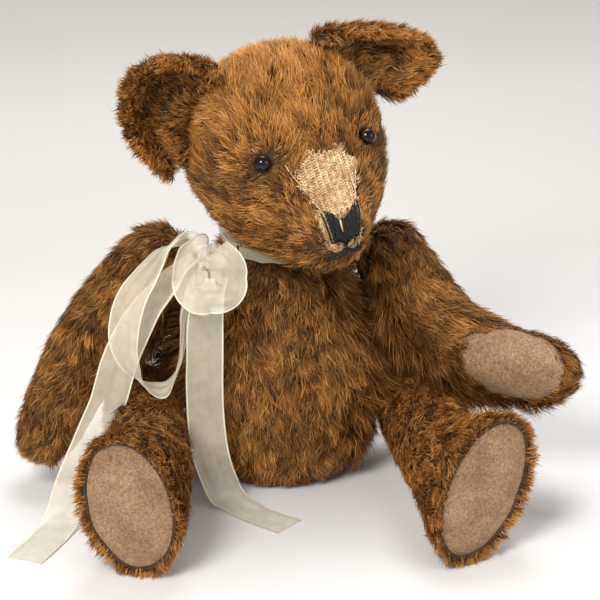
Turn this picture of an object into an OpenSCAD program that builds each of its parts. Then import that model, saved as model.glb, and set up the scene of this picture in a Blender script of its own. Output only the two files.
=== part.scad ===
/* [Torso] */
// Width of the torso over the fur
torso_w = 130; // [100:1:160]
// Depth of the torso over the fur, front to back
torso_d = 118; // [90:1:150]
// Height of the torso from the seat to the neck
torso_h = 175; // [140:1:200]

/* [Head] */
// Half width of the head over the fur, without the ears
head_r = 63; // [50:1:75]
// Forward tilt of the neck axis
neck_tilt = 14; // [0:1:25]
// Turn of the head from straight ahead, to the bear's left
head_turn = 20; // [-30:1:30]
// Sideways lean of the head
head_lean = -2; // [-10:1:10]
// Length of an ear from its seam to its edge
ear_len = 52; // [30:1:60]
// Half the height of an ear, from top to lobe
ear_r = 36; // [25:1:45]
// Direction of the left ear, up from straight out
ear_way_left = -2; // [-30:1:60]
// Direction of the right ear, up from straight out
ear_way_right = 38; // [-30:1:60]
// Diameter of a glass eye
eye_d = 11; // [8:0.5:14]

/* [Limbs] */
// Swing of the left arm, forward from hanging down
arm_swing_left = 30; // [0:1:90]
// Swing of the right arm, forward from hanging down
arm_swing_right = 0; // [-10:1:90]
// Sideways bend of the left arm at the elbow
arm_bend_left = 50; // [0:1:80]
// Sideways bend of the right arm at the elbow
arm_bend_right = 3; // [-20:1:40]
// Swing of the left leg, forward from hanging down
leg_swing_left = 93; // [70:0.5:105]
// Swing of the right leg, forward from hanging down
leg_swing_right = 96.5; // [70:0.5:105]
// Outward roll of the left foot
foot_roll_left = 14; // [-10:1:30]
// Outward roll of the right foot
foot_roll_right = 0; // [-10:1:30]
// Backward lean of the left sole
foot_pitch_left = 2; // [-10:1:25]
// Backward lean of the right sole
foot_pitch_right = 14; // [-10:1:25]
// Outward turn of a foot
foot_turn = 22; // [0:1:35]

/* [Cloth] */
// Thickness of the mohair cloth with its pile laid down
pile_t = 5; // [3:0.5:8]
// Thickness of an ear's cloth with its pile
ear_t = 3; // [2:0.5:5]
// Thickness of the suede pads
suede_t = 2; // [1:0.5:4]
// Width of the ribbon
ribbon_w = 25; // [15:1:40]
// Thickness of the ribbon as drawn
ribbon_t = 0.8; // [0.5:0.1:1.5]

/* [Joints] */
// Diameter of a shoulder disc
arm_disc_d = 28; // [20:1:36]
// Diameter of a hip disc
leg_disc_d = 34; // [24:1:44]
// Diameter of the neck disc
neck_disc_d = 34; // [26:1:44]
// Thickness of a joint disc
disc_t = 3; // [2:0.5:5]
// Diameter of a washer
washer_d = 12; // [8:1:16]
// Diameter of a cotter pin
pin_d = 3; // [2:0.5:4]

/* [Hidden] */
sides = 24;
limb_sides = 20;
gap = 0.3;
run = 0.05;
seam = 0.3;
washer_t = 1;
mohair = [0.42, 0.26, 0.13];
wool = [0.85, 0.80, 0.68];
suede = [0.55, 0.44, 0.36];
board = [0.62, 0.48, 0.32];
steel = [0.70, 0.70, 0.72];
thread = [0.06, 0.05, 0.05];
glass = [0.10, 0.05, 0.03];
silk = [0.90, 0.86, 0.74];

// Catmull-Rom curve through the rows of a table, k steps to a row
function cr(a, b, c, d, t) =
    0.5 * (2 * b + (c - a) * t + (2 * a - 5 * b + 4 * c - d) * t * t
    + (3 * b - a - 3 * c + d) * t * t * t);
function curve(tab, k) = let (n = len(tab) - 1) [
    for (i = [0:n - 1]) for (j = [0:k - 1])
        cr(tab[max(i - 1, 0)], tab[i], tab[i + 1], tab[min(i + 2, n)], j / k),
    tab[n]
];
function unit(v) = v / norm(v);

// A grid of points moved along its own normals, outward for a positive distance
function grid_normal(g, i, j, wrap) = let (
    m = len(g) - 1, n = len(g[0]) - 1,
    i0 = max(i - 1, 0), i1 = min(i + 1, m),
    j0 = wrap && j == 0 ? n - 1 : max(j - 1, 0),
    j1 = wrap && j == n ? 1 : min(j + 1, n))
    unit(cross(g[i][j1] - g[i][j0], g[i0][j] - g[i1][j]));
function moved(g, d, wrap = true) = [
    for (i = [0:len(g) - 1]) [
        for (j = [0:len(g[0]) - 1]) g[i][j] + d * grid_normal(g, i, j, wrap)
    ]
];
function part_of(g, i0, i1, j0, j1) = [
    for (i = [i0:i1]) [for (j = [j0:j1]) g[i][j]]
];
function columns(g, j0, j1) = part_of(g, 0, len(g) - 1, j0, j1);
function lifted(g, z) = [for (r = g) [for (p = r) [p.x, p.y, max(p.z, z)]]];
function flat_all(g) = [for (r = g) each r];

// A closed slab between an outer and an inner grid of the same size
module slab(a, b) {
    m = len(a);
    n = len(a[0]);
    s = m * n;
    polyhedron(concat(flat_all(a), flat_all(b)), concat(
        [for (i = [0:m - 2]) for (j = [0:n - 2]) each [
            [i * n + j, i * n + j + 1, (i + 1) * n + j + 1],
            [i * n + j, (i + 1) * n + j + 1, (i + 1) * n + j]]],
        [for (i = [0:m - 2]) for (j = [0:n - 2]) each [
            [s + i * n + j, s + (i + 1) * n + j + 1, s + i * n + j + 1],
            [s + i * n + j, s + (i + 1) * n + j, s + (i + 1) * n + j + 1]]],
        [for (j = [0:n - 2]) each [
            [j, s + j, s + j + 1], [j, s + j + 1, j + 1]]],
        [for (j = [0:n - 2]) let (k = (m - 1) * n + j) each [
            [k, s + k + 1, s + k], [k, k + 1, s + k + 1]]],
        [for (i = [0:m - 2]) let (k = i * n) each [
            [k, k + n, s + k + n], [k, s + k + n, s + k]]],
        [for (i = [0:m - 2]) let (k = i * n + n - 1) each [
            [k, s + k + n, k + n], [k, s + k, s + k + n]]]));
}

// A closed loft through the rings of a grid, capped at both ends
module loft(g) {
    m = len(g);
    n = len(g[0]) - 1;
    polyhedron(flat_all([for (r = g) [for (j = [0:n - 1]) r[j]]]), concat(
        [[for (j = [0:n - 1]) n - 1 - j]],
        [for (i = [0:m - 2]) for (j = [0:n - 1]) let (k = (j + 1) % n) each [
            [i * n + j, i * n + k, (i + 1) * n + k],
            [i * n + j, (i + 1) * n + k, (i + 1) * n + j]]],
        [[for (j = [0:n - 1]) (m - 1) * n + j]]));
}

// Torso rings from the neck down: height, middle y, half width, half depth
torso_rows = [
    [1.000, 0, 0.012, 0.012],
    [0.992, 0, 0.24, 0.23],
    [0.950, 0, 0.47, 0.44],
    [0.84, 1, 0.66, 0.62],
    [0.69, 2, 0.835, 0.80],
    [0.55, 1, 0.955, 0.94],
    [0.36, 0, 1.00, 1.00],
    [0.19, 0, 0.94, 0.95],
    [0.06, 2, 0.78, 0.80],
    [-0.005, 4, 0.55, 0.56],
    [-0.03, 4, 0.012, 0.012]
];
torso_g = [
    for (r = curve(torso_rows, 2)) [
        for (j = [0:sides]) let (a = 360 * j / sides - 180)
            [r[2] * torso_w / 2 * cos(a), r[1] + r[3] * torso_d / 2 * sin(a),
             r[0] * torso_h]
    ]
];

// Limb rings: distance along the limb, half thickness, half depth, share of the bend
arm_rows = [
    [-26, 0.6, 0.6, 0],
    [-23.5, 10, 11.5, 0],
    [-14, 20.5, 23, 0],
    [3, 25, 28, 0],
    [38, 27, 28.5, 0.18],
    [74, 26, 27, 0.58],
    [108, 24, 26.5, 0.92],
    [136, 21, 24.5, 1],
    [152, 13, 15.5, 1],
    [157, 0.6, 0.6, 1]
];
leg_rows = [
    [-31, 0.6, 0.6, 0],
    [-28, 12, 14, 0],
    [-17, 22, 26, 0],
    [4, 26, 32, 0],
    [40, 26, 32, 0],
    [78, 25.5, 31, 0.05],
    [110, 27, 31, 0.35],
    [132, 29.5, 38, 0.7],
    [150, 32, 48, 1],
    [160, 32, 50, 1]
];
// Centre line of a limb: x, y, z, pitch, yaw, half thickness, half depth, roll
function limb_line(rows, pitch, yaw0, yaw1, roll = 0) = let (
    n = len(rows) - 1,
    p = [for (r = rows) r[3] * pitch],
    w = [for (r = rows) yaw0 + r[3] * (yaw1 - yaw0)],
    ds = [for (i = [0:n - 1]) rows[i + 1][0] - rows[i][0]])
    [for (i = 0, c = [0, 0, -rows[0][0]]; i <= n;
        a = i < n ? (p[i] + p[i + 1]) / 2 : 0,
        b = i < n ? (w[i] + w[i + 1]) / 2 : 0,
        c = i < n ? c + ds[i] * [sin(b), -sin(a) * cos(b), -cos(a) * cos(b)] : c,
        i = i + 1)
        [c.x, c.y, c.z, p[i], w[i], rows[i][1], rows[i][2], rows[i][3] * roll]];
function level_side(r) = [cos(r[4]), sin(r[4]) * sin(r[3]), sin(r[4]) * cos(r[3])];
function level_back(r) = [0, cos(r[3]), -sin(r[3])];
function side_way(r) = level_side(r) * cos(r[7]) + level_back(r) * sin(r[7]);
function back_way(r) = level_back(r) * cos(r[7]) - level_side(r) * sin(r[7]);
// Rings round a centre line, moved out so the limb clears the plane of its joint
function limb_grid(line, x0) = [
    for (r = line) [
        for (j = [0:limb_sides])
            let (a = seam + (360 - 2 * seam) * j / limb_sides + 90)
            [x0 + r[0], r[1], r[2]] + side_way(r) * r[5] * cos(a)
            + back_way(r) * r[6] * sin(a)
    ]
];
arm_x = 27.5;
leg_x = 27.5;
arm_line_left = limb_line(curve(arm_rows, 2), 25, 4, arm_bend_left);
arm_line_right = limb_line(curve(arm_rows, 2), 12, 18, arm_bend_right);
leg_line_left =
    limb_line(curve(leg_rows, 2), -foot_pitch_left, 0, foot_turn, foot_roll_left);
leg_line_right =
    limb_line(curve(leg_rows, 2), -foot_pitch_right, 0, foot_turn, foot_roll_right);
arm_g_left = limb_grid(arm_line_left, arm_x);
arm_g_right = limb_grid(arm_line_right, arm_x);
leg_g_left = limb_grid(leg_line_left, leg_x);
leg_g_right = limb_grid(leg_line_right, leg_x);

// Each limb meets the torso where a ring point's normal is its hinge
shoulder_i = 7;
hip_i = 13;
hinge_j = sides / 2;
shoulder_out = grid_normal(torso_g, shoulder_i, hinge_j, true);
hip_out = grid_normal(torso_g, hip_i, hinge_j, true);
shoulder_at = torso_g[shoulder_i][hinge_j] + 0.5 * shoulder_out;
hip_at = torso_g[hip_i][hinge_j] + 0.5 * hip_out;

// Puts a child drawn with its hinge along X onto a hinge point, then swings it
module hung(at, out, swing) {
    translate(at)
    rotate([0, -asin(out.z), atan2(out.y, out.x)])
    rotate([-swing, 0, 0])
    children();
}
module at_shoulder(swing = 0) {
    hung(shoulder_at, shoulder_out, swing) children();
}
module at_hip(swing = 0) {
    hung(hip_at, hip_out, swing) children();
}

// Joint hardware along X: the torso's pieces at negative x, the limb's at positive x
torso_disc_x = -9.5;
neck_drop = 7;
arm_disc_x = 21;
leg_disc_x = 13.5;
head_disc_x = 13;
module disc(d, x) {
    translate([x, 0, 0])
    rotate([0, 90, 0])
    difference() {
        cylinder(h = disc_t, d = d, $fn = 64);
        translate([0, 0, -1])
        cylinder(h = disc_t + 2, r = pin_d / 2 + run, $fn = 32);
    }
}
module washer(x) {
    translate([x, 0, 0])
    rotate([0, 90, 0])
    difference() {
        cylinder(h = washer_t, d = washer_d, $fn = 48);
        translate([0, 0, -1])
        cylinder(h = washer_t + 2, r = pin_d / 2 + run, $fn = 32);
    }
}
module pin_way() {
    translate([-30, 0, 0])
    rotate([0, 90, 0])
    cylinder(h = 60, r = pin_d / 2 + run, $fn = 32);
}
module pocket(d, x0, x1) {
    translate([x0, 0, 0])
    rotate([0, 90, 0])
    cylinder(h = x1 - x0, d = d + 2 * gap, $fn = 48);
}
// A cotter pin: an eye behind the limb's washer, a shaft, two ends curled back
module cotter(eye_x, tip_x) {
    curl = 2.6;
    wire = pin_d / 4;
    rotate([0, 90, 0])
    translate([0, 0, tip_x])
    cylinder(h = eye_x - tip_x, d = pin_d, $fn = 32);
    translate([eye_x + 3.4, 0, 0])
    rotate([90, 0, 0])
    rotate_extrude($fn = 32)
    translate([2.6, 0])
    circle(r = wire * 1.2, $fn = 16);
    for (s = [-1, 1])
    translate([tip_x + 0.1, s * curl, 0])
    rotate([0, 0, s > 0 ? 180 : 90])
    rotate_extrude(angle = 90, $fn = 32)
    translate([curl, 0])
    circle(r = wire, $fn = 16);
}

// Head rings from the nose to the back: y, middle z, half width, up, down, gusset angle
head_rows = [
    [-93, 36.5, 0.6, 0.6, 0.6, 33],
    [-92, 37, 9, 9, 10, 33],
    [-87, 38, 19, 19, 21, 33],
    [-77, 41, 29, 28, 30, 32],
    [-62, 46, 43, 39, 40, 33],
    [-44, 54, 55, 51, 51, 32],
    [-24, 60, 62, 61, 58, 27],
    [0, 62, 63, 64, 60, 24],
    [25, 61, 56, 54, 54, 23],
    [46, 60, 38, 36, 36, 21],
    [57.5, 60, 17, 16, 16, 28],
    [60, 60, 0.6, 0.6, 0.6, 30]
];
// Angle 0 is the bear's left, 90 the top; the gusset takes the six columns round the top
function head_angle(j, w) =
    j <= 9 ? -90 + seam + (180 - seam - w) * j / 9 :
    j >= 15 ? 90 + w + (180 - seam - w) * (j - 15) / 9 :
    90 - w + w * (j - 9) / 3;
function head_point(r, a) = [
    r[2] * head_r / 63 * cos(a), r[0], r[1] + sin(a) * (sin(a) > 0 ? r[3] : r[4])
];
function head_grid(extra) = [
    for (r = curve(head_rows, 2)) [
        for (j = [0:sides]) head_point(r, head_angle(j, r[5] + extra))
    ]
];
head_g = head_grid(0);
head_side_g = head_grid(0.4);
neck_at = [0, 0, torso_h + 1];
module on_neck() {
    translate(neck_at)
    rotate([neck_tilt, 0, 0])
    children();
}
module on_head() {
    on_neck()
    rotate([0, 0, head_turn])
    rotate([0, head_lean, 0])
    children();
}
// A neck piece is drawn along X like a limb's, then stood up with the head above
module neck_way() {
    on_neck()
    rotate([0, -90, 0])
    children();
}

// Eye centres on the head, the left one; the right one mirrors it
eye_row = [-52, 50.5, 49.5, 46, 46];
eye_a = 43;
eye_at = head_point(eye_row, eye_a);
module eye_ball(grow) {
    translate(eye_at)
    sphere(d = eye_d + 2 * grow, $fn = 48);
}
module eye_shank(grow) {
    translate(eye_at)
    rotate([0, 0, 25])
    rotate([-90, 0, 0])
    rotate([-20, 0, 0])
    translate([0, 0, eye_d / 2 + (grow > 0 ? -1 : gap / 2)])
    cylinder(h = grow > 0 ? 18 : 15, r = 0.8 + grow, $fn = 16);
}
module both_eyes() {
    children();
    mirror([1, 0, 0])
    children();
}

// An ear grid: base on the head's side, edge a rounded fan, hollow to the front
function ear_base(u, mid) = let (
    a = mid + 26 * u, y = 9 - 13 * u * u,
    r = [y, 61.8, 62.8 - y * y * 0.012, 61.5, 60])
    head_point(r, a) + 4.5 * [cos(a), 0, sin(a)];
function ear_edge(u, mid, way, long) = let (
    w = 86 * u, c = [cos(way), 0, sin(way)], t = [-sin(mid), 0, cos(mid)])
    ear_base(0, mid) + c * long * cos(w) + t * ear_r * sin(w)
    + [0, -8 - 12 * (1 - cos(w)), 0];
function ear_grid(mid, way, long) = [
    for (v = [0, 0.28, 0.55, 0.8, 1]) [
        for (i = [-6:6]) let (u = i / 6)
            ear_base(u, mid) * (1 - v) + ear_edge(u, mid, way, long) * v
            + [0, 9 * sin(180 * v), 0]
    ]
];
ear_g_left = ear_grid(42, ear_way_left, ear_len + 8);
ear_g_right = ear_grid(27, ear_way_right, ear_len);

// Stitches of the nose and mouth, as outlines seen from the front
nose_outline = [[-11, 57], [0, 53.5], [11, 57], [8.5, 36], [0, 33.5], [-8.5, 36]];
module face_layer(r1, lift, t) {
    slab(part_of(moved(head_g, lift + t), 0, r1, 0, sides),
        part_of(moved(head_g, lift), 0, r1, 0, sides));
}
module mouth_stroke(from, to) {
    d = to - from;
    translate([from.x, -60, from.y])
    rotate([0, -atan2(d.y, d.x), 0])
    translate([0, -50, -0.8])
    cube([norm(d), 50, 1.6]);
}

// Pads: an oval way through the inner side of a paw, at a ring of the centre line
pad_i = 13;
pad_turn_left = 65;
pad_turn_right = 0;
module paw_way(line, turn, grow) {
    r = line[pad_i];
    s = side_way(r) * cos(turn) + back_way(r) * sin(turn);
    b = back_way(r) * cos(turn) - side_way(r) * sin(turn);
    d = cross(s, b);
    multmatrix([
        [d.x, b.x, -s.x, arm_x + r[0]],
        [d.y, b.y, -s.y, r[1]],
        [d.z, b.z, -s.z, r[2]],
        [0, 0, 0, 1]])
    translate([6, 0, 8])
    scale([34 + grow, 23 + grow, 1])
    cylinder(h = 40, r = 1, $fn = 48);
}
module paw_pad(g, line, turn) {
    last = len(g) - 1;
    intersection() {
        slab(part_of(moved(g, -1), 8, last - 1, 1, 15),
            part_of(moved(g, -1 - suede_t), 8, last - 1, 1, 15));
        paw_way(line, turn, 0);
    }
}
// A foot pad: a shallow dome that fills the open end of the leg
module foot_pad(line) {
    r = line[len(line) - 1];
    s = side_way(r);
    b = back_way(r);
    d = cross(s, b);
    wide = r[5] - pile_t - 0.9;
    deep = r[6] - pile_t - 0.9;
    rings = [[-3, 0.02], [-3, 1], [-1.2, 1], [-0.4, 0.86], [0.3, 0.5], [0.5, 0.02]];
    loft([for (q = rings) [for (j = [0:limb_sides]) let (a = 360 * j / limb_sides)
        [leg_x + r[0], r[1], r[2]] - d * q[0]
        + s * wide * q[1] * cos(a) + b * deep * q[1] * sin(a)]]);
}

// Ribbon runs: centre points and the direction across the ribbon at each
function run_grid(pts, ways, k = 2) = let (p = curve(pts, k), w = curve(ways, k)) [
    for (i = [0:len(p) - 1]) [
        for (j = [-1, 0, 1]) p[i] + unit(w[i]) * ribbon_w / 2 * j
    ]
];
module ribbon_run(pts, ways) {
    g = run_grid(pts, ways);
    slab(moved(g, ribbon_t / 2, false), moved(g, -ribbon_t / 2, false));
}
knot_at = [-47, -46, 171];
module collar() {
    g = [for (i = [0:28]) let (a = 225 + 358 * i / 28, swell = pow(cos((a - 225) / 2), 6))
        [for (z = [-10.5, -5, 0.5]) let (r = 35.5 + 3 * swell)
            [r * cos(a), r * sin(a), z]]];
    on_neck()
    slab(moved(g, ribbon_t / 2, false), moved(g, -ribbon_t / 2, false));
}

module torso_skin_left() {
    color(mohair)
    difference() {
        intersection() {
            slab(columns(torso_g, 6, 18), columns(lifted(moved(torso_g, -pile_t), 3), 6, 18));
            translate([gap / 3, -200, 0])
            cube([200, 400, 400]);
        }
        at_shoulder() pin_way();
        at_hip() pin_way();
        neck_way() pin_way();
    }
}
module torso_skin_right() {
    mirror([1, 0, 0])
    torso_skin_left();
}
module torso_stuffing() {
    color(wool)
    difference() {
        loft(lifted(moved(torso_g, -pile_t - gap), 3 + gap));
        for (s = [0, 1])
        mirror([s, 0, 0]) {
            at_shoulder() pocket(arm_disc_d, torso_disc_x - 10, -2);
            at_hip() pocket(leg_disc_d, torso_disc_x - 10, -2);
        }
        neck_way() pocket(neck_disc_d, torso_disc_x - neck_drop - 10, 2);
    }
}
module torso_disc_neck() {
    color(board)
    neck_way() disc(neck_disc_d, torso_disc_x - neck_drop - disc_t);
}
module torso_disc_shoulder_left() {
    color(board)
    at_shoulder() disc(arm_disc_d, torso_disc_x - disc_t);
}
module torso_disc_shoulder_right() {
    mirror([1, 0, 0])
    torso_disc_shoulder_left();
}
module torso_disc_hip_left() {
    color(board)
    at_hip() disc(leg_disc_d, torso_disc_x - disc_t);
}
module torso_disc_hip_right() {
    mirror([1, 0, 0])
    torso_disc_hip_left();
}
torso_washer_x = torso_disc_x - disc_t - washer_t - 0.1;
module torso_washers() {
    color(steel) {
        neck_way() washer(torso_washer_x - neck_drop);
        for (s = [0, 1])
        mirror([s, 0, 0]) {
            at_shoulder() washer(torso_washer_x);
            at_hip() washer(torso_washer_x);
        }
    }
}

module ribbon_collar() {
    color(silk)
    collar();
}
module ribbon_knot() {
    color(silk)
    translate(knot_at)
    rotate([0, 30, 35])
    scale([1, 0.75, 0.9])
    sphere(r = 9, $fn = 32);
}
module ribbon_loop_left() {
    color(silk)
    ribbon_run([
        [-40, -58, 169], [-31, -67, 170], [-27, -72, 160], [-32, -75, 147],
        [-42, -74, 141], [-47, -70, 150], [-46, -66, 158]],
        [[0.6, -0.4, 0.7], [0.7, -0.3, 0.6], [0.8, 0, 0.5], [1, 0, 0.1],
        [0.9, 0, -0.3], [0.9, 0, -0.3], [0.9, 0, -0.3]]);
}
module ribbon_loop_right() {
    color(silk)
    ribbon_run([
        [-68, -60, 180], [-80, -65, 174], [-95, -68, 158], [-105, -69, 135],
        [-104, -70, 112], [-95, -72, 97], [-84, -72, 92], [-75, -71, 102],
        [-73, -69, 122], [-71, -66, 140], [-70, -64, 152]],
        [[0.6, -0.6, 0.6], [0.6, -0.6, 0.6], [0.7, -0.6, 0.4], [0.8, -0.6, 0.1],
        [0.6, -0.8, -0.1], [0.3, -1, -0.1], [0.1, -1, 0], [0.2, -1, 0],
        [0.4, -1, 0], [0.6, -0.8, 0], [0.6, -0.8, 0]]);
}
module ribbon_tail_left() {
    color(silk)
    ribbon_run([
        [-46, -53, 156], [-49, -57, 136], [-50, -60, 110], [-50, -60, 76],
        [-49, -59, 40], [-45, -62, 14], [-38, -72, 4], [-24, -86, 2.5], [-6, -102, 2.5]],
        [[1, 0.1, 0], [1, 0.1, 0], [1, 0, 0], [1, 0, 0],
        [1, 0, 0], [1, 0.3, 0], [0.9, 0.5, 0], [0.8, 0.6, 0], [0.7, 0.7, 0]]);
}
module ribbon_tail_right() {
    color(silk)
    ribbon_run([
        [-67, -46, 160], [-84, -49, 146], [-100, -52, 122], [-112, -54, 98],
        [-128, -62, 74], [-144, -68, 44], [-150, -73, 18], [-153, -82, 4],
        [-160, -104, 2.5], [-172, -124, 2.5]],
        [[0.8, -0.1, 0.6], [0.8, -0.1, 0.6], [0.8, -0.1, 0.5], [0.8, -0.3, 0.5],
        [0.6, -0.8, 0.3], [0.4, -1, 0], [0.5, -1, 0], [0.9, -0.5, 0],
        [0.9, -0.4, 0], [0.9, -0.4, 0]]);
}

module head_side_left() {
    color(mohair)
    on_head()
    difference() {
        slab(columns(head_side_g, 0, 9), columns(moved(head_side_g, -pile_t), 0, 9));
        eye_ball(0.15);
        head_pin_way();
    }
}
module head_side_right() {
    color(mohair)
    on_head()
    difference() {
        slab(columns(head_side_g, 15, 24), columns(moved(head_side_g, -pile_t), 15, 24));
        mirror([1, 0, 0]) eye_ball(0.15);
        head_pin_way();
    }
}
// The neck pin's way in the head's own frame
module head_pin_way() {
    rotate([0, -head_lean, 0])
    translate([0, 0, -10])
    cylinder(h = 40, r = pin_d / 2 + run, $fn = 32);
}
module head_gusset() {
    color(mohair)
    on_head()
    difference() {
        slab(columns(head_g, 9, 15), columns(moved(head_g, -pile_t), 9, 15));
        both_eyes() eye_ball(0.15);
    }
}
module head_stuffing() {
    color(wool)
    difference() {
        on_head()
        difference() {
            loft(moved(head_g, -pile_t - gap));
            both_eyes() {
                eye_ball(0.15);
                eye_shank(0.2);
            }
        }
        neck_way() pocket(neck_disc_d, 4, head_disc_x + 14);
    }
}
module ear_left_front() {
    color(mohair)
    on_head()
    slab(moved(ear_g_left, ear_t, false), ear_g_left);
}
module ear_left_back() {
    color(mohair)
    on_head()
    slab(moved(ear_g_left, -0.15, false), moved(ear_g_left, -ear_t, false));
}
module ear_right_front() {
    color(mohair)
    on_head()
    mirror([1, 0, 0])
    slab(moved(ear_g_right, ear_t, false), ear_g_right);
}
module ear_right_back() {
    color(mohair)
    on_head()
    mirror([1, 0, 0])
    slab(moved(ear_g_right, -0.15, false), moved(ear_g_right, -ear_t, false));
}
module eye_left() {
    color(glass)
    on_head()
    eye_ball(0);
}
module eye_right() {
    color(glass)
    on_head()
    mirror([1, 0, 0])
    eye_ball(0);
}
module eye_shanks() {
    color(steel)
    on_head()
    both_eyes() eye_shank(0);
}
module nose_stitching() {
    color(thread)
    on_head()
    intersection() {
        face_layer(8, 0.1, 1.6);
        translate([0, -60, 0])
        rotate([90, 0, 0])
        linear_extrude(50)
        polygon(nose_outline);
    }
}
module mouth_stitching() {
    color(thread)
    on_head()
    intersection() {
        face_layer(10, 0.1, 1.2);
        union() {
            mouth_stroke([0, 25], [0, 32]);
            mouth_stroke([0, 25], [-11, 18]);
            mouth_stroke([0, 25], [11, 18]);
        }
    }
}
module head_disc() {
    color(board)
    neck_way() disc(neck_disc_d, head_disc_x);
}
module head_washer() {
    color(steel)
    neck_way() washer(head_disc_x + disc_t + 0.1);
}
module neck_pin() {
    color(steel)
    neck_way() cotter(head_disc_x + disc_t + 1.4, torso_washer_x - neck_drop - 1);
}

module arm_skin(g, line, turn) {
    difference() {
        slab(g, moved(g, -pile_t));
        pin_way();
        paw_way(line, turn, 0.2);
    }
}
module arm_stuffing(g) {
    difference() {
        loft(moved(g, -pile_t - gap));
        pocket(arm_disc_d, 3, arm_disc_x + 14);
    }
}
module arm_left_skin() {
    color(mohair)
    at_shoulder(arm_swing_left) arm_skin(arm_g_left, arm_line_left, pad_turn_left);
}
module arm_left_stuffing() {
    color(wool)
    at_shoulder(arm_swing_left) arm_stuffing(arm_g_left);
}
module paw_pad_left() {
    color(suede)
    at_shoulder(arm_swing_left) paw_pad(arm_g_left, arm_line_left, pad_turn_left);
}
module arm_left_disc() {
    color(board)
    at_shoulder() disc(arm_disc_d, arm_disc_x);
}
module arm_left_washer() {
    color(steel)
    at_shoulder() washer(arm_disc_x + disc_t + 0.1);
}
module shoulder_pin_left() {
    color(steel)
    at_shoulder() cotter(arm_disc_x + disc_t + 1.4, torso_washer_x - 1);
}
module arm_right_skin() {
    color(mohair)
    mirror([1, 0, 0])
    at_shoulder(arm_swing_right) arm_skin(arm_g_right, arm_line_right, pad_turn_right);
}
module arm_right_stuffing() {
    color(wool)
    mirror([1, 0, 0])
    at_shoulder(arm_swing_right) arm_stuffing(arm_g_right);
}
module paw_pad_right() {
    color(suede)
    mirror([1, 0, 0])
    at_shoulder(arm_swing_right) paw_pad(arm_g_right, arm_line_right, pad_turn_right);
}
module arm_right_disc() {
    mirror([1, 0, 0])
    arm_left_disc();
}
module arm_right_washer() {
    mirror([1, 0, 0])
    arm_left_washer();
}
module shoulder_pin_right() {
    mirror([1, 0, 0])
    shoulder_pin_left();
}

// A leg's skin is made in an upper and a lower length, which meet at ring 10
module leg_length(g, i0, i1) {
    slab(part_of(g, i0, i1, 0, limb_sides),
        part_of(moved(g, -pile_t), i0, i1, 0, limb_sides));
}
module leg_skin(g) {
    difference() {
        leg_length(g, 0, 10);
        pin_way();
    }
}
module leg_stuffing(g) {
    difference() {
        loft(part_of(moved(g, -pile_t - gap), 0, len(g) - 3, 0, limb_sides));
        pocket(leg_disc_d, 3, leg_disc_x + 14);
    }
}
module leg_left_skin() {
    color(mohair)
    at_hip(leg_swing_left) leg_skin(leg_g_left);
}
module leg_left_lower_skin() {
    color(mohair)
    at_hip(leg_swing_left) leg_length(leg_g_left, 10, len(leg_g_left) - 1);
}
module leg_left_stuffing() {
    color(wool)
    at_hip(leg_swing_left) leg_stuffing(leg_g_left);
}
module foot_pad_left() {
    color(suede)
    at_hip(leg_swing_left) foot_pad(leg_line_left);
}
module leg_left_disc() {
    color(board)
    at_hip() disc(leg_disc_d, leg_disc_x);
}
module leg_left_washer() {
    color(steel)
    at_hip() washer(leg_disc_x + disc_t + 0.1);
}
module hip_pin_left() {
    color(steel)
    at_hip() cotter(leg_disc_x + disc_t + 1.4, torso_washer_x - 1);
}
module leg_right_skin() {
    color(mohair)
    mirror([1, 0, 0])
    at_hip(leg_swing_right) leg_skin(leg_g_right);
}
module leg_right_lower_skin() {
    color(mohair)
    mirror([1, 0, 0])
    at_hip(leg_swing_right) leg_length(leg_g_right, 10, len(leg_g_right) - 1);
}
module leg_right_stuffing() {
    color(wool)
    mirror([1, 0, 0])
    at_hip(leg_swing_right) leg_stuffing(leg_g_right);
}
module foot_pad_right() {
    color(suede)
    mirror([1, 0, 0])
    at_hip(leg_swing_right) foot_pad(leg_line_right);
}
module leg_right_disc() {
    mirror([1, 0, 0])
    leg_left_disc();
}
module leg_right_washer() {
    mirror([1, 0, 0])
    leg_left_washer();
}
module hip_pin_right() {
    mirror([1, 0, 0])
    hip_pin_left();
}

torso_skin_left();
torso_skin_right();
torso_stuffing();
torso_disc_neck();
torso_disc_shoulder_left();
torso_disc_shoulder_right();
torso_disc_hip_left();
torso_disc_hip_right();
torso_washers();
ribbon_collar();
ribbon_knot();
ribbon_loop_left();
ribbon_loop_right();
ribbon_tail_left();
ribbon_tail_right();
head_side_left();
head_side_right();
head_gusset();
head_stuffing();
ear_left_front();
ear_left_back();
ear_right_front();
ear_right_back();
eye_left();
eye_right();
eye_shanks();
nose_stitching();
mouth_stitching();
head_disc();
head_washer();
neck_pin();
arm_left_skin();
arm_left_stuffing();
paw_pad_left();
arm_left_disc();
arm_left_washer();
shoulder_pin_left();
arm_right_skin();
arm_right_stuffing();
paw_pad_right();
arm_right_disc();
arm_right_washer();
shoulder_pin_right();
leg_left_skin();
leg_left_lower_skin();
leg_left_stuffing();
foot_pad_left();
leg_left_disc();
leg_left_washer();
hip_pin_left();
leg_right_skin();
leg_right_lower_skin();
leg_right_stuffing();
foot_pad_right();
leg_right_disc();
leg_right_washer();
hip_pin_right();
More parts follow.
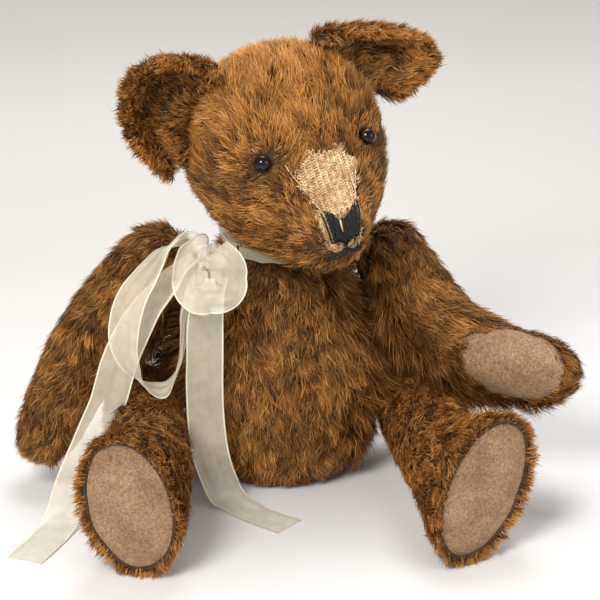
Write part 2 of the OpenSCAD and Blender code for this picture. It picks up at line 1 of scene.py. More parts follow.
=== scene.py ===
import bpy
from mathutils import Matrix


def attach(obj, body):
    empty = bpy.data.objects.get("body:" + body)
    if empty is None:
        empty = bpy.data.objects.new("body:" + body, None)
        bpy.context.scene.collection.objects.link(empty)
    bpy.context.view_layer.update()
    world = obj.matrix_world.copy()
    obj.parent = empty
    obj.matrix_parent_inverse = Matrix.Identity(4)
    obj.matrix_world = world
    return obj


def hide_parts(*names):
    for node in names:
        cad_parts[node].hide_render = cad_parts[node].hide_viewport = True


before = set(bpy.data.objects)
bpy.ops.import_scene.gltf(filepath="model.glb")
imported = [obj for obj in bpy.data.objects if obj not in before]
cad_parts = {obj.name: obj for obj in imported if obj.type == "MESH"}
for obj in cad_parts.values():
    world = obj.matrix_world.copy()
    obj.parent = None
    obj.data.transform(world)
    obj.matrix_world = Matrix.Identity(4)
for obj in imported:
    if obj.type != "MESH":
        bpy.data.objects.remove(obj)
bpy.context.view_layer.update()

import math
import bpy
import numpy as np
from mathutils import Vector
from mathutils.bvhtree import BVHTree

MM = 0.001
sin = lambda d: math.sin(math.radians(d))
cos = lambda d: math.cos(math.radians(d))


# ---- curves and grids
def unit(v):
    return v / np.maximum(np.linalg.norm(v, axis=-1, keepdims=True), 1e-9)


def curve(table, k):
    """Catmull-Rom curve through the rows of a table, k steps to a row."""
    tab = np.array(table, float)
    n = len(tab) - 1
    out = []
    for i in range(n):
        a, b, c, d = (tab[max(i - 1, 0)], tab[i], tab[i + 1], tab[min(i + 2, n)])
        for j in range(k):
            t = j / k
            out.append(0.5 * (2 * b + (c - a) * t + (2 * a - 5 * b + 4 * c - d) * t * t
                              + (3 * b - a - 3 * c + d) * t ** 3))
    return np.array(out + [tab[n]])


def normals(g, wrap=True):
    i = np.arange(len(g))
    j = np.arange(g.shape[1])
    n = g.shape[1] - 1
    lo, hi = (np.where(j == 0, n - 1, j - 1), np.where(j == n, 1, j + 1)) if wrap else (
        np.maximum(j - 1, 0), np.minimum(j + 1, n))
    dj = g[:, hi] - g[:, lo]
    di = g[np.maximum(i - 1, 0)] - g[np.minimum(i + 1, len(g) - 1)]
    return unit(np.cross(dj, di))


def moved(g, d, wrap=True):
    return g + d * normals(g, wrap)


def waves(p, size, seed, terms=7):
    """Smooth noise from -1 to 1 over points in mm, about size mm from crest to crest."""
    r = np.random.default_rng(seed)
    way = unit(r.normal(size=(terms, 3)))
    speed = 2 * math.pi / size * r.uniform(0.6, 1.7, terms)
    total = sum(np.sin(p @ (way[k] * speed[k]) + r.uniform(0, 6.28)) for k in range(terms))
    return np.clip(total / math.sqrt(terms) / 1.3, -1, 1)


def distance(a, b):
    return np.linalg.norm(a - b, axis=-1)


def run_length(path):
    """How far each point lies along a path."""
    return np.concatenate([[0], np.cumsum(distance(path[1:], path[:-1]))])


def between(a, b, t):
    return a * (1 - t) + b * t


def level(v, n):
    """v laid at right angles to n, and one unit long."""
    return unit(v - n * (v * n).sum(1)[:, None])


def swung(u, v, a):
    """u turned towards v by a radians, row by row."""
    return u * np.cos(a)[:, None] + v * np.sin(a)[:, None]


def fade(x, start, span):
    """0 up to start, 1 from start + span on, and a straight slope between."""
    return np.clip((x - start) / span, 0, 1)


# ---- places
def shift(v):
    m = np.eye(4)
    m[:3, 3] = v
    return m


def turn(axis, deg):
    m = np.eye(4)
    i, j = {"x": (1, 2), "y": (2, 0), "z": (0, 1)}[axis]
    m[i, i] = m[j, j] = cos(deg)
    m[i, j], m[j, i] = -sin(deg), sin(deg)
    return m


def place(m, p):
    return p @ m[:3, :3].T + m[:3, 3]


def hung(at, out, swing):
    return (shift(at) @ turn("z", math.degrees(math.atan2(out[1], out[0])))
            @ turn("y", -math.degrees(math.asin(out[2]))) @ turn("x", -swing))


MIRROR = np.diag([-1.0, 1, 1, 1])

# ---- shapes, as in the CAD
TORSO_W, TORSO_D, TORSO_H = 130, 118, 175
NECK_TILT, HEAD_TURN, HEAD_LEAN = 14, 20, -2
LIMB_OUT = 27.5     # how far a limb's line lies from its joint's face
PAD_I = 13          # half rows down the arm, to the middle of its pad
torso_rows = [
    [1.000, 0, 0.012, 0.012], [0.992, 0, 0.24, 0.23], [0.950, 0, 0.47, 0.44],
    [0.84, 1, 0.66, 0.62], [0.69, 2, 0.835, 0.80], [0.55, 1, 0.955, 0.94],
    [0.36, 0, 1.00, 1.00], [0.19, 0, 0.94, 0.95], [0.06, 2, 0.78, 0.80],
    [-0.005, 4, 0.55, 0.56], [-0.03, 4, 0.012, 0.012]]
arm_rows = [
    [-26, 0.6, 0.6, 0], [-23.5, 10, 11.5, 0], [-14, 20.5, 23, 0], [3, 25, 28, 0],
    [38, 27, 28.5, 0.18], [74, 26, 27, 0.58], [108, 24, 26.5, 0.92], [136, 21, 24.5, 1],
    [152, 13, 15.5, 1], [157, 0.6, 0.6, 1]]
leg_rows = [
    [-31, 0.6, 0.6, 0], [-28, 12, 14, 0], [-17, 22, 26, 0], [4, 26, 32, 0],
    [40, 26, 32, 0], [78, 25.5, 31, 0.05], [110, 27, 31, 0.35], [132, 29.5, 38, 0.7],
    [150, 32, 48, 1], [160, 32, 50, 1]]
head_rows = [
    [-93, 36.5, 0.6, 0.6, 0.6, 33], [-92, 37, 9, 9, 10, 33], [-87, 38, 19, 19, 21, 33],
    [-77, 41, 29, 28, 30, 32], [-62, 46, 43, 39, 40, 33], [-44, 54, 55, 51, 51, 32],
    [-24, 60, 62, 61, 58, 27], [0, 62, 63, 64, 60, 24], [25, 61, 56, 54, 54, 23],
    [46, 60, 38, 36, 36, 21], [57.5, 60, 17, 16, 16, 28], [60, 60, 0.6, 0.6, 0.6, 30]]


def torso_grid(k, sides):
    a = np.radians(360 * np.arange(sides + 1) / sides - 180)
    return np.array([[[r[2] * TORSO_W / 2 * math.cos(t), r[1] + r[3] * TORSO_D / 2 * math.sin(t),
                       r[0] * TORSO_H] for t in a] for r in curve(torso_rows, k)])


def limb_line(rows, k, pitch, yaw0, yaw1, roll=0):
    rows = curve(rows, k)
    c = np.array([0, 0, -rows[0][0]])
    line = []
    for i, r in enumerate(rows):
        p, w = r[3] * pitch, yaw0 + r[3] * (yaw1 - yaw0)
        line.append([*c, p, w, r[1], r[2], r[3] * roll])
        if i < len(rows) - 1:
            q = rows[i + 1]
            a = (r[3] + q[3]) / 2 * pitch
            b = yaw0 + (r[3] + q[3]) / 2 * (yaw1 - yaw0)
            c = c + (q[0] - r[0]) * np.array([sin(b), -sin(a) * cos(b), -cos(a) * cos(b)])
    return np.array(line)


def ways(r):
    """The side and back directions of a limb's ring."""
    side = np.array([cos(r[4]), sin(r[4]) * sin(r[3]), sin(r[4]) * cos(r[3])])
    back = np.array([0, cos(r[3]), -sin(r[3])])
    return side * cos(r[7]) + back * sin(r[7]), back * cos(r[7]) - side * sin(r[7])


def ring_middle(r):
    return np.array([LIMB_OUT + r[0], r[1], r[2]])


def limb_grid(line, sides):
    out = []
    for r in line:
        s, b = ways(r)
        out.append([ring_middle(r) + s * r[5] * cos(a) + b * r[6] * sin(a)
                    for a in 90 + 360 * np.arange(sides + 1) / sides])
    return np.array(out)


def head_point(r, a):
    return np.array([r[2] * cos(a), r[0], r[1] + sin(a) * (r[3] if sin(a) > 0 else r[4])])


def head_grid(k, sides):
    return np.array([[head_point(r, a) for a in -90 + 360 * np.arange(sides + 1) / sides]
                     for r in curve(head_rows, k)])


def ear_grid(mid, way, reach, nv, nu):
    def base(u):
        a, y = mid + 26 * u, 9 - 13 * u * u
        return (head_point([y, 61.8, 62.8 - y * y * 0.012, 61.5, 60], a)
                + 4.5 * np.array([cos(a), 0, sin(a)]))

    def edge(u):
        w = 86 * u
        return (base(0) + np.array([cos(way), 0, sin(way)]) * reach * cos(w)
                + np.array([-sin(mid), 0, cos(mid)]) * 36 * sin(w)
                + np.array([0, -8 - 12 * (1 - cos(w)), 0]))
    return np.array([[between(base(u), edge(u), v) + np.array([0, 9 * sin(180 * v), 0])
                      for u in np.linspace(-1, 1, nu)] for v in np.linspace(0, 1, nv)])


coarse = torso_grid(2, 24)
coarse_n = normals(coarse)
joint = {"arm": (coarse[7, 12] + 0.5 * coarse_n[7, 12], coarse_n[7, 12]),
         "leg": (coarse[13, 12] + 0.5 * coarse_n[13, 12], coarse_n[13, 12])}
ON_NECK = shift([0, 0, TORSO_H + 1]) @ turn("x", NECK_TILT)
ON_HEAD = ON_NECK @ turn("z", HEAD_TURN) @ turn("y", HEAD_LEAN)
K = 6
LIMBS = {
    "arm_left": (limb_line(arm_rows, K, 25, 4, 50), hung(*joint["arm"], 30), 65),
    "arm_right": (limb_line(arm_rows, K, 12, 18, 3), MIRROR @ hung(*joint["arm"], 0), 0),
    "leg_left": (limb_line(leg_rows, K, -2, 0, 22, 14), hung(*joint["leg"], 93), None),
    "leg_right": (limb_line(leg_rows, K, -14, 0, 22, 0), MIRROR @ hung(*joint["leg"], 96.5), None),
}


# ---- materials
def material(name):
    m = bpy.data.materials.new(name)
    m.use_nodes = True
    nt = m.node_tree
    return m, nt, nt.nodes["Principled BSDF"]


def node(nt, kind, **values):
    n = nt.nodes.new(kind)
    for key, value in values.items():
        if hasattr(n, key):
            setattr(n, key, value)
        else:
            n.inputs[key.replace("_", " ")].default_value = value
    return n


def ramp(nt, source, stops):
    r = nt.nodes.new("ShaderNodeValToRGB")
    for i, (at, colour) in enumerate(stops):
        e = r.color_ramp.elements[i] if i < 2 else r.color_ramp.elements.new(at)
        e.position, e.color = at, (*colour, 1)
    nt.links.new(source, r.inputs["Fac"])
    return r.outputs["Color"]


def mix(nt, factor, a, b, blend="MIX"):
    n = node(nt, "ShaderNodeMix", data_type="RGBA", blend_type=blend)
    for socket, value in (("Factor", factor), ("A", a), ("B", b)):
        target = [s for s in n.inputs if s.name == socket and s.enabled][0]
        if isinstance(value, bpy.types.NodeSocket):
            nt.links.new(value, target)
        else:
            target.default_value = value if socket == "Factor" else (*value, 1)
    return [s for s in n.outputs if s.enabled][0]


def noise(nt, scale, detail=3, rough=0.6):
    n = node(nt, "ShaderNodeTexNoise", Scale=scale, Detail=detail, Roughness=rough)
    nt.links.new(nt.nodes.new("ShaderNodeTexCoord").outputs["Object"], n.inputs["Vector"])
    return n.outputs["Fac"]


def bump(nt, shader, height, strength, distance):
    b = node(nt, "ShaderNodeBump", Strength=strength, Distance=distance)
    nt.links.new(height, b.inputs["Height"])
    nt.links.new(b.outputs["Normal"], shader.inputs["Normal"])


def own_uv(nt):
    x = nt.nodes.new("ShaderNodeSeparateXYZ")
    nt.links.new(node(nt, "ShaderNodeUVMap", uv_map="OFBake").outputs["UV"], x.inputs[0])
    return x.outputs["X"], x.outputs["Y"]


def tune(shader, **values):
    """Set a shader's inputs; each _ stands for a space in an input's name."""
    for key, value in values.items():
        shader.inputs[key.replace("_", " ")].default_value = value


def mottled(name, scale, detail, rough, low, high, rise=None, **values):
    """A material whose colour is a noise between two (place, colour) stops.

    rise is the scale, detail, strength and distance of its bumps.
    """
    m, nt, bsdf = material(name)
    nt.links.new(ramp(nt, noise(nt, scale, detail, rough), [low, high]), bsdf.inputs["Base Color"])
    tune(bsdf, **values)
    if rise:
        bump(nt, bsdf, noise(nt, *rise[:2]), *rise[2:])
    return m


def pile_material(name, dark, light):
    """Colour along a strand, from root to tip, and from a dark strand to a light one."""
    m, nt, bsdf = material(name)
    u, v = own_uv(nt)
    low = ramp(nt, v, [(0, dark[0]), (0.5, dark[1]), (1, dark[2])])
    high = ramp(nt, v, [(0, light[0]), (0.5, light[1]), (1, light[2])])
    nt.links.new(mix(nt, u, low, high), bsdf.inputs["Base Color"])
    tune(bsdf, Roughness=0.4, Specular_IOR_Level=0.4, Specular_Tint=(1.0, 0.70, 0.38, 1))
    return m


MOHAIR = pile_material(
    "mohair_pile",
    [(0.010, 0.004, 0.001), (0.050, 0.018, 0.005), (0.12, 0.045, 0.012)],
    [(0.07, 0.026, 0.006), (0.46, 0.178, 0.038), (0.88, 0.44, 0.125)])
CREAM = pile_material(
    "sheared_pile",
    [(0.16, 0.075, 0.028), (0.36, 0.18, 0.07), (0.50, 0.28, 0.12)],
    [(0.45, 0.27, 0.13), (0.85, 0.62, 0.36), (0.95, 0.80, 0.58)])


def suede_material():
    m, nt, bsdf = material("suede")
    mottle = ramp(nt, noise(nt, 45, 5, 0.65),
                  [(0.3, (0.245, 0.145, 0.080)), (0.72, (0.43, 0.275, 0.160))])
    nap = ramp(nt, noise(nt, 620, 3, 0.7), [(0.35, (0.55, 0.53, 0.52)), (0.68, (1.25, 1.22, 1.2))])
    nt.links.new(mix(nt, 1.0, mottle, nap, "MULTIPLY"), bsdf.inputs["Base Color"])
    tune(bsdf, Roughness=0.92, Specular_IOR_Level=0.2, Sheen_Weight=0.12, Sheen_Roughness=0.5)
    bump(nt, bsdf, noise(nt, 900, 3, 0.7), 0.55, 0.0009)
    return m


def weave_material():
    """The woven backing of the sheared muzzle: pale crossed threads with brown between."""
    m, nt, bsdf = material("muzzle_weave")
    coords = nt.nodes.new("ShaderNodeTexCoord").outputs["Object"]
    n = node(nt, "ShaderNodeTexVoronoi", Scale=560.0, feature="F1")
    nt.links.new(coords, n.inputs["Vector"])
    tone = ramp(nt, n.outputs["Distance"], [(0.1, (0.55, 0.34, 0.16)), (0.62, (0.24, 0.11, 0.04))])
    nt.links.new(mix(nt, 0.5, tone, ramp(nt, noise(nt, 90, 4), [
        (0.35, (0.36, 0.19, 0.08)), (0.7, (0.62, 0.42, 0.22))])), bsdf.inputs["Base Color"])
    tune(bsdf, Roughness=0.85)
    bump(nt, bsdf, n.outputs["Distance"], 0.6, 0.0008)
    return m


def glass_material(name, dark, inner):
    return mottled(name, 500, 2, 0.6, (0.3, dark), (0.8, inner), Roughness=0.04,
                   Specular_IOR_Level=0.25, Coat_Weight=0.25, Coat_Roughness=0.02)


def pale_thread():
    m, nt, bsdf = material("pale_thread")
    fine = ramp(nt, noise(nt, 420, 3), [(0.35, (0.50, 0.28, 0.12)), (0.62, (0.92, 0.72, 0.46))])
    broad = ramp(nt, noise(nt, 60, 3), [(0.35, (0.70, 0.58, 0.46)), (0.65, (1.0, 1.0, 1.0))])
    nt.links.new(mix(nt, 1.0, fine, broad, "MULTIPLY"), bsdf.inputs["Base Color"])
    tune(bsdf, Roughness=0.8)
    return m


CREAM_THREAD = pale_thread()
BACKING = mottled("mohair_backing", 160, 4, 0.6, (0.3, (0.016, 0.007, 0.003)),
                  (0.75, (0.09, 0.042, 0.015)), (700, 2, 0.7, 0.001), Roughness=0.9)
SUEDE, WEAVE = suede_material(), weave_material()
THREAD = mottled("black_thread", 1500, 3, 0.6, (0.35, (0.003, 0.003, 0.0035)),
                 (0.75, (0.014, 0.0135, 0.015)), (1500, 3, 0.4, 0.0004), Roughness=0.5,
                 Specular_IOR_Level=0.3)
RIBBON = mottled("sheer_ribbon", 120, 3, 0.6, (0.3, (0.68, 0.61, 0.46)), (0.7, (0.83, 0.77, 0.62)),
                 (1400, 2, 0.25, 0.0003), Roughness=0.5, Alpha=0.52, Sheen_Weight=0.3)
EDGE = mottled("ribbon_edge", 800, 2, 0.6, (0.3, (0.66, 0.61, 0.47)), (0.7, (0.80, 0.75, 0.60)),
               Roughness=0.45)
PUPIL = glass_material("eye_black_glass", (0.0018, 0.0012, 0.0012), (0.003, 0.002, 0.002))
IRIS = glass_material("eye_brown_glass", (0.036, 0.006, 0.0024), (0.060, 0.010, 0.004))
STEEL = mottled("steel_wire", 300, 3, 0.6, (0.3, (0.42, 0.42, 0.44)), (0.7, (0.62, 0.62, 0.64)),
                Roughness=0.3, Metallic=1.0)
BOARD = mottled("fibre_board", 250, 5, 0.7, (0.3, (0.20, 0.13, 0.07)), (0.7, (0.36, 0.25, 0.14)),
                (600, 3, 0.3, 0.0005), Roughness=0.85)


# ---- meshes
def add(name, data):
    ob = bpy.data.objects.new(name, data)
    bpy.context.scene.collection.objects.link(ob)
    return ob


def build(name, body, verts, faces, mats, uv=None, which=None, smooth=True):
    """A mesh piece from points in mm; faces is a list of index arrays, one for each face size."""
    me = bpy.data.meshes.new(name)
    loops = np.concatenate([f.ravel() for f in faces])
    sizes = np.concatenate([np.full(len(f), f.shape[1]) for f in faces])
    starts = np.concatenate([[0], np.cumsum(sizes)[:-1]])
    me.vertices.add(len(verts))
    me.vertices.foreach_set("co", (np.asarray(verts) * MM).astype(np.float32).ravel())
    me.loops.add(len(loops))
    me.loops.foreach_set("vertex_index", loops.astype(np.int32))
    me.polygons.add(len(sizes))
    me.polygons.foreach_set("loop_start", starts.astype(np.int32))
    if which is not None:
        me.polygons.foreach_set("material_index", which.astype(np.int32))
    me.polygons.foreach_set("use_smooth", np.full(len(sizes), smooth))
    if uv is not None:
        layer = me.uv_layers.new(name="OFBake")
        layer.data.foreach_set("uv", uv.astype(np.float32).ravel())
    me.update(calc_edges=True)
    for m in mats:
        me.materials.append(m)
    ob = add(name, me)
    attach(ob, body)
    return ob


def quads(m, n, flip=False):
    i, j = np.meshgrid(np.arange(m - 1), np.arange(n - 1), indexing="ij")
    a = (i * n + j).ravel()
    f = np.stack([a, a + 1, a + n + 1, a + n], 1)
    return f[:, ::-1] if flip else f


def skin(name, body, g, m, mat, flip=False, thick=0.0, wrap=True):
    """A cloth surface over a grid; with thick, a closed sheet that lies just inside it."""
    flip ^= np.linalg.det(m[:3, :3]) < 0
    a = place(m, g.reshape(-1, 3))
    f = quads(len(g), g.shape[1], flip)
    if not thick:
        return build(name, body, a, [f], [mat])
    b = place(m, (g - thick * normals(g, wrap)).reshape(-1, 3))
    s, n, r = len(a), g.shape[1], len(g)
    rim = [(i, i + 1) for i in range(n - 1)]
    rim += [((r - 1) * n + i + 1, (r - 1) * n + i) for i in range(n - 1)]
    rim += [((i + 1) * n, i * n) for i in range(r - 1)]
    rim += [(i * n + n - 1, (i + 1) * n + n - 1) for i in range(r - 1)]
    side = np.array([[q, p, p + s, q + s] for p, q in rim])
    return build(name, body, np.concatenate([a, b]),
                 [f, f[:, ::-1] + s, side[:, ::-1] if flip else side], [mat])


def tube(points, radius, sides=8):
    """Points and faces of a thread along a path, closed at both ends."""
    p = np.asarray(points, float)
    d = unit(np.gradient(p, axis=0))
    u = unit(np.cross(d, np.array([0.31, 0.2, 0.93])))
    w = np.cross(d, u)
    a = np.radians(360 * np.arange(sides) / sides)[None, :, None]
    ring = p[:, None] + radius * (u[:, None] * np.cos(a) + w[:, None] * np.sin(a))
    v = np.concatenate([ring.reshape(-1, 3), p[:1], p[-1:]])
    k = np.arange(sides)
    f = np.concatenate([np.stack([i * sides + k, i * sides + (k + 1) % sides,
                                  (i + 1) * sides + (k + 1) % sides, (i + 1) * sides + k], 1)
                        for i in range(len(p) - 1)])
    t = np.concatenate([np.stack([(k + 1) % sides, k, np.full(sides, len(p) * sides)], 1),
                        np.stack([(len(p) - 1) * sides + k, (len(p) - 1) * sides + (k + 1) % sides,
                                  np.full(sides, len(p) * sides + 1)], 1)])
    return v, f, t


def threads(name, paths, mat, radius):
    """One piece of many threads on the head, each a path in the head's mm."""
    v, f, t, n = [], [], [], 0
    for path in paths:
        a, b, c = tube(place(ON_HEAD, np.asarray(path)), radius)
        v.append(a), f.append(b + n), t.append(c + n)
        n += len(a)
    faces = [np.concatenate(f), np.concatenate(t)]
    return build(name, "head", np.concatenate(v), faces, [mat])


# ---- fur
ribbon_lines = []   # centre lines of the ribbon where it presses on the fur, in mm


def pressed(p):
    """How far each point lies from the ribbon, as 0 under it and 1 clear of it."""
    near = np.full(len(p), 1e9)
    for line in ribbon_lines:
        for q in line:
            near = np.minimum(near, ((p - q) ** 2).sum(1))
    return fade(np.sqrt(near), 13, 8)


def fur(name, body, g, m, density, look, seed, wrap=True, flip=False, tufts=9, depth=3.2,
        mat=None, wide=(0.36, 0.66), most=60000, jitter=1.0):
    """Strands of pile over a grid in mm, in tufts that are rooted depth below it.

    look(c, n, d, i, j, rng) is asked at each tuft's foot, with its place, the surface's normal and
    run there and its row and column. It gives the share kept, the length, the lift in degrees, the
    tone and the way the tuft lies. density is in strands to a square mm.
    """
    rng = np.random.default_rng(seed)
    nrm = normals(g, wrap) * (-1 if flip else 1)
    way = unit(np.gradient(g, axis=0))
    e1, e2 = g[1:, 1:] - g[:-1, :-1], g[1:, :-1] - g[:-1, 1:]
    area = 0.5 * np.linalg.norm(np.cross(e1, e2), axis=-1)
    count = int(area.sum() * density / tufts)
    cell = rng.choice(area.size, size=count, p=area.ravel() / area.sum())
    i, j = np.divmod(cell, area.shape[1])
    s, t = rng.random(count)[:, None], rng.random(count)[:, None]

    def at(f):
        return between(between(f[i, j], f[i + 1, j], s),
                       between(f[i, j + 1], f[i + 1, j + 1], s), t)
    c, n = at(g), unit(at(nrm))
    d = level(at(way), n)
    keep, length, lift, tone, bend = look(c, n, d, i + s[:, 0], j + t[:, 0], rng)
    parted = np.clip(2.2 * waves(c, 10, seed + 8) - 1.1, 0, 1)
    ok = rng.random(count) < keep * (1 - 0.6 * parted)
    c, n, d, length, lift, tone = c[ok], n[ok], d[ok], length[ok], lift[ok], tone[ok]
    if bend is not None:
        d = level(bend[ok], n)
    k = len(c)
    side = np.cross(n, d)
    ang = np.radians(22 * waves(c, 34, seed + 1) + 26 * waves(c, 13, seed + 3) * min(jitter, 1)
                     + 6 * rng.normal(size=k) * jitter)
    lift = lift + 5 * rng.normal(size=k) + 8 * waves(c, 11, seed + 6)
    length = length * rng.uniform(0.85, 1.15, k)
    tone = 1.3 * (tone + 0.26 * waves(c, 6.5, seed + 2) + 0.21 * waves(c, 17, seed + 4)
                  + 0.13 * rng.normal(size=k) + 0.09 * waves(c, 44, seed + 9))
    sway = 20 * waves(c, 8, seed + 5)
    # from here on there is one row for each strand of a tuft
    c, n, d, side, ang, lift, length, tone, sway = (
        np.repeat(x, tufts, axis=0) for x in (c, n, d, side, ang, lift, length, tone, sway))
    k = len(c)
    ang = ang + np.radians(8 * rng.normal(size=k) * jitter)
    go = swung(d, side, ang)
    off = np.clip(rng.normal(size=(k, 2)), -2, 2) * 1.5
    spread = go * off[:, :1] + np.cross(n, go) * off[:, 1:]
    length = length * rng.uniform(0.7, 1.25, k)
    l1 = np.radians(lift + 12 + 5 * rng.normal(size=k))
    l2 = np.radians(lift - 16 + 7 * rng.normal(size=k))
    curl = np.radians(sway + 11 * rng.normal(size=k))
    go2 = unit(swung(go, np.cross(n, go), curl))
    p0 = c + spread - n * depth
    p1 = p0 + (length * 0.45)[:, None] * swung(go, n, l1)
    p2 = p1 + (length * 0.55)[:, None] * swung(go2, n, l2) - 0.2 * spread
    run = unit(p2 - p0)
    face = unit(np.cross(run, n))
    twist = np.radians(34 * rng.normal(size=k))
    across = swung(face, np.cross(run, face), twist)
    w = rng.uniform(*wide, k)[:, None] / 2
    pts = np.stack([p0 - across * w, p0 + across * w, p1 - across * w, p1 + across * w, p2], 1)
    pts = place(m, pts.reshape(-1, 3))
    pts[:, 2] = np.maximum(pts[:, 2], 0.35)
    pts = pts.reshape(k, 5, 3)
    u = np.clip(0.5 + tone + 0.10 * rng.normal(size=k), 0.01, 0.93)
    for q in range(0, k, most):
        r = slice(q, min(q + most, k))
        b = np.arange(len(pts[r]))[:, None] * 5
        # u is the strand's tone and v runs from root to tip: a quad, then a triangle at the tip
        uu, root = u[r, None], u[r, None] * 0
        corners = [(uu, root), (uu + 0.06, root), (uu + 0.06, root + 0.5), (uu, root + 0.5),
                   (uu + 0.03, root + 1.0)]
        at_corner = [np.concatenate(x, 1) for x in corners]
        uv = [np.stack([at_corner[x] for x in face], 1).reshape(-1, 2)
              for face in ((0, 1, 2, 3), (3, 2, 4))]
        build(f"{name}_{q // most + 1}", body, pts[r].reshape(-1, 3),
              [b + np.array([0, 1, 3, 2]), b + np.array([2, 3, 4])], [mat or MOHAIR],
              uv=np.concatenate(uv), smooth=False)


# ---- ribbon
RIBBON_WIDTH = 25.0
CELLS = 24          # cells across the ribbon


def ribbon_piece(name, centre, across, folds, phase=0.0, ruffle=0.0):
    """A sheer ribbon along points in mm; folds is how deep its pleats are at each point."""
    c = curve(centre, 6)
    w = unit(curve(across, 6))
    f = curve([[x] for x in folds], 6)[:, 0]
    run = unit(np.gradient(c, axis=0))
    w = level(w, run)
    n = np.cross(run, w)
    s = np.linspace(-1, 1, CELLS + 1)
    along = run_length(c)
    pleat = (np.sin(s[None] * 7.5 + phase + 0.02 * along[:, None])
             + 0.5 * np.sin(s[None] * 15 + 2 + phase - 0.05 * along[:, None]))
    narrow = 1 - 0.42 * fade(f, 0, 3)
    g = (c[:, None] + w[:, None] * (s[None] * (RIBBON_WIDTH / 2) * narrow[:, None])[..., None]
         + n[:, None] * (pleat * f[:, None] * 0.55)[..., None])
    g += n[:, None] * (0.5 * waves(g.reshape(-1, 3), 22, 5).reshape(g.shape[:2]))[..., None]
    if ruffle:
        frill = np.sin(0.34 * along[:, None] + 1.3 * s[None])
        g += n[:, None] * (ruffle * (1 - s[None]) / 2 * frill)[..., None]
        g += n[:, None] * (1.3 * waves(g.reshape(-1, 3), 13, 8).reshape(g.shape[:2]))[..., None]
    g[..., 2] = np.maximum(g[..., 2], 0.9)
    uv = np.stack(np.broadcast_arrays(s[None] * 0.5 + 0.5, (along / along[-1])[:, None]), -1)
    q = quads(len(g), CELLS + 1)
    # both edges are woven firmer, but a ruffled piece's second edge is gathered out of sight
    cell = np.arange(len(q)) % CELLS
    which = np.where((cell == 0) | ((cell == CELLS - 1) & (not ruffle)), 1, 0)
    ob = build(name, "torso", g.reshape(-1, 3), [q], [RIBBON, EDGE],
               uv=uv.reshape(-1, 2)[q.ravel()], which=which)
    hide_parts(name)


tail_left_points = [
    [-46, -55, 160], [-51, -60, 150], [-54, -63, 134], [-55, -65, 110], [-55.5, -65, 76],
    [-53, -63, 44], [-47, -60, 20], [-40, -60, 6], [-28, -73, 1.6], [-17, -86, 1.5], [-5, -98, 1.5]]
tail_left_ways = [[1, 0.1, 0]] * 5 + [
    [1, 0, 0], [1, 0.2, 0], [0.95, 0.35, 0], [0.8, 0.6, 0], [0.76, 0.65, 0], [0.7, 0.7, 0]]
tail_right_points = [
    [-60, -56, 172], [-74, -58, 160], [-90, -60, 142], [-101, -61, 124], [-110, -62, 104],
    [-118, -63, 78], [-130, -66, 52], [-142, -70, 26], [-149, -76, 8], [-156, -90, 1.6],
    [-165, -108, 1.5], [-174, -124, 1.5]]
tail_right_ways = [
    [0.8, -0.1, 0.6], [0.8, -0.1, 0.6], [0.8, -0.2, 0.55], [0.8, -0.2, 0.5], [0.85, -0.2, 0.4],
    [0.85, -0.3, 0.3], [0.9, -0.3, 0.2], [0.9, -0.35, 0.1], [0.92, -0.35, 0], [0.92, -0.36, 0],
    [0.92, -0.36, 0], [0.92, -0.36, 0]]
ribbon_lines.append(curve(tail_left_points[:8], 3))


def ribbons():
    ribbon_piece("ribbon_tail_left", tail_left_points, tail_left_ways,
                 [2.6, 1.6, 0.6, 0.3, 0.2, 0.3, 0.5, 0.4, 0.3, 0.2, 0.2])
    ribbon_piece("ribbon_tail_right", tail_right_points, tail_right_ways,
                 [2.6, 2.0, 1.2, 0.6, 0.4, 0.3, 0.3, 0.3, 0.3, 0.2, 0.2, 0.2],
                 phase=1)
    # the long loop hangs beside the arm and comes back up behind its own front run
    ribbon_piece("ribbon_loop_right",
                 [[-56, -58, 180], [-66, -62, 186], [-79, -67, 181], [-92, -70, 165],
                  [-103, -71, 146], [-107, -71, 122], [-102, -72, 103], [-92, -73, 92],
                  [-82, -72, 90], [-74, -70, 99], [-69, -66, 116], [-66, -62, 138],
                  [-60, -58, 160]],
                 [[0.3, -0.5, 0.9], [0.4, -0.5, 0.8], [0.6, -0.6, 0.6], [0.8, -0.6, 0.4],
                  [0.9, -0.5, 0.2],
                  [0.85, -0.6, 0], [0.6, -0.8, -0.1], [0.3, -1, -0.1], [0, -1, -0.1], [-0.2, -1, 0],
                  [-0.3, -1, 0], [-0.4, -0.9, 0], [-0.5, -0.9, 0]],
                 [2.8, 2.2, 1.6, 1.2, 1.0, 0.9, 0.9, 0.8, 0.8, 1.0, 1.4, 2.0, 2.6],
                 phase=2)
    # the short loop is laid over in front of the knot, so that it spreads like a fan
    turns = range(125, 416, 29)
    reach = [12.2 + 0.9 * cos(4 * (t - 45)) + 0.5 * cos(t) for t in turns]
    ring = [[-52.5 + r * 1.06 * cos(t), -71 + 6 * sin(t) - (t - 125) / 70, 165.0 + r * sin(t)]
            for t, r in zip(turns, reach)]
    inward = [[-cos(t), 0.1, -sin(t)] for t in turns]
    ribbon_piece("ribbon_loop_left",
                 [[-48, -58, 175], [-54, -61, 179]] + ring + [[-49, -66, 178], [-46, -60, 174]],
                 [[0.6, -0.3, -0.6], [0.6, -0.2, -0.7]] + inward
                 + [[-0.6, -0.2, -0.7], [-0.5, -0.3, -0.6]],
                 [2.4, 1.8] + [0.6] * 11 + [1.8, 2.4],
                 phase=3, ruffle=2.2)


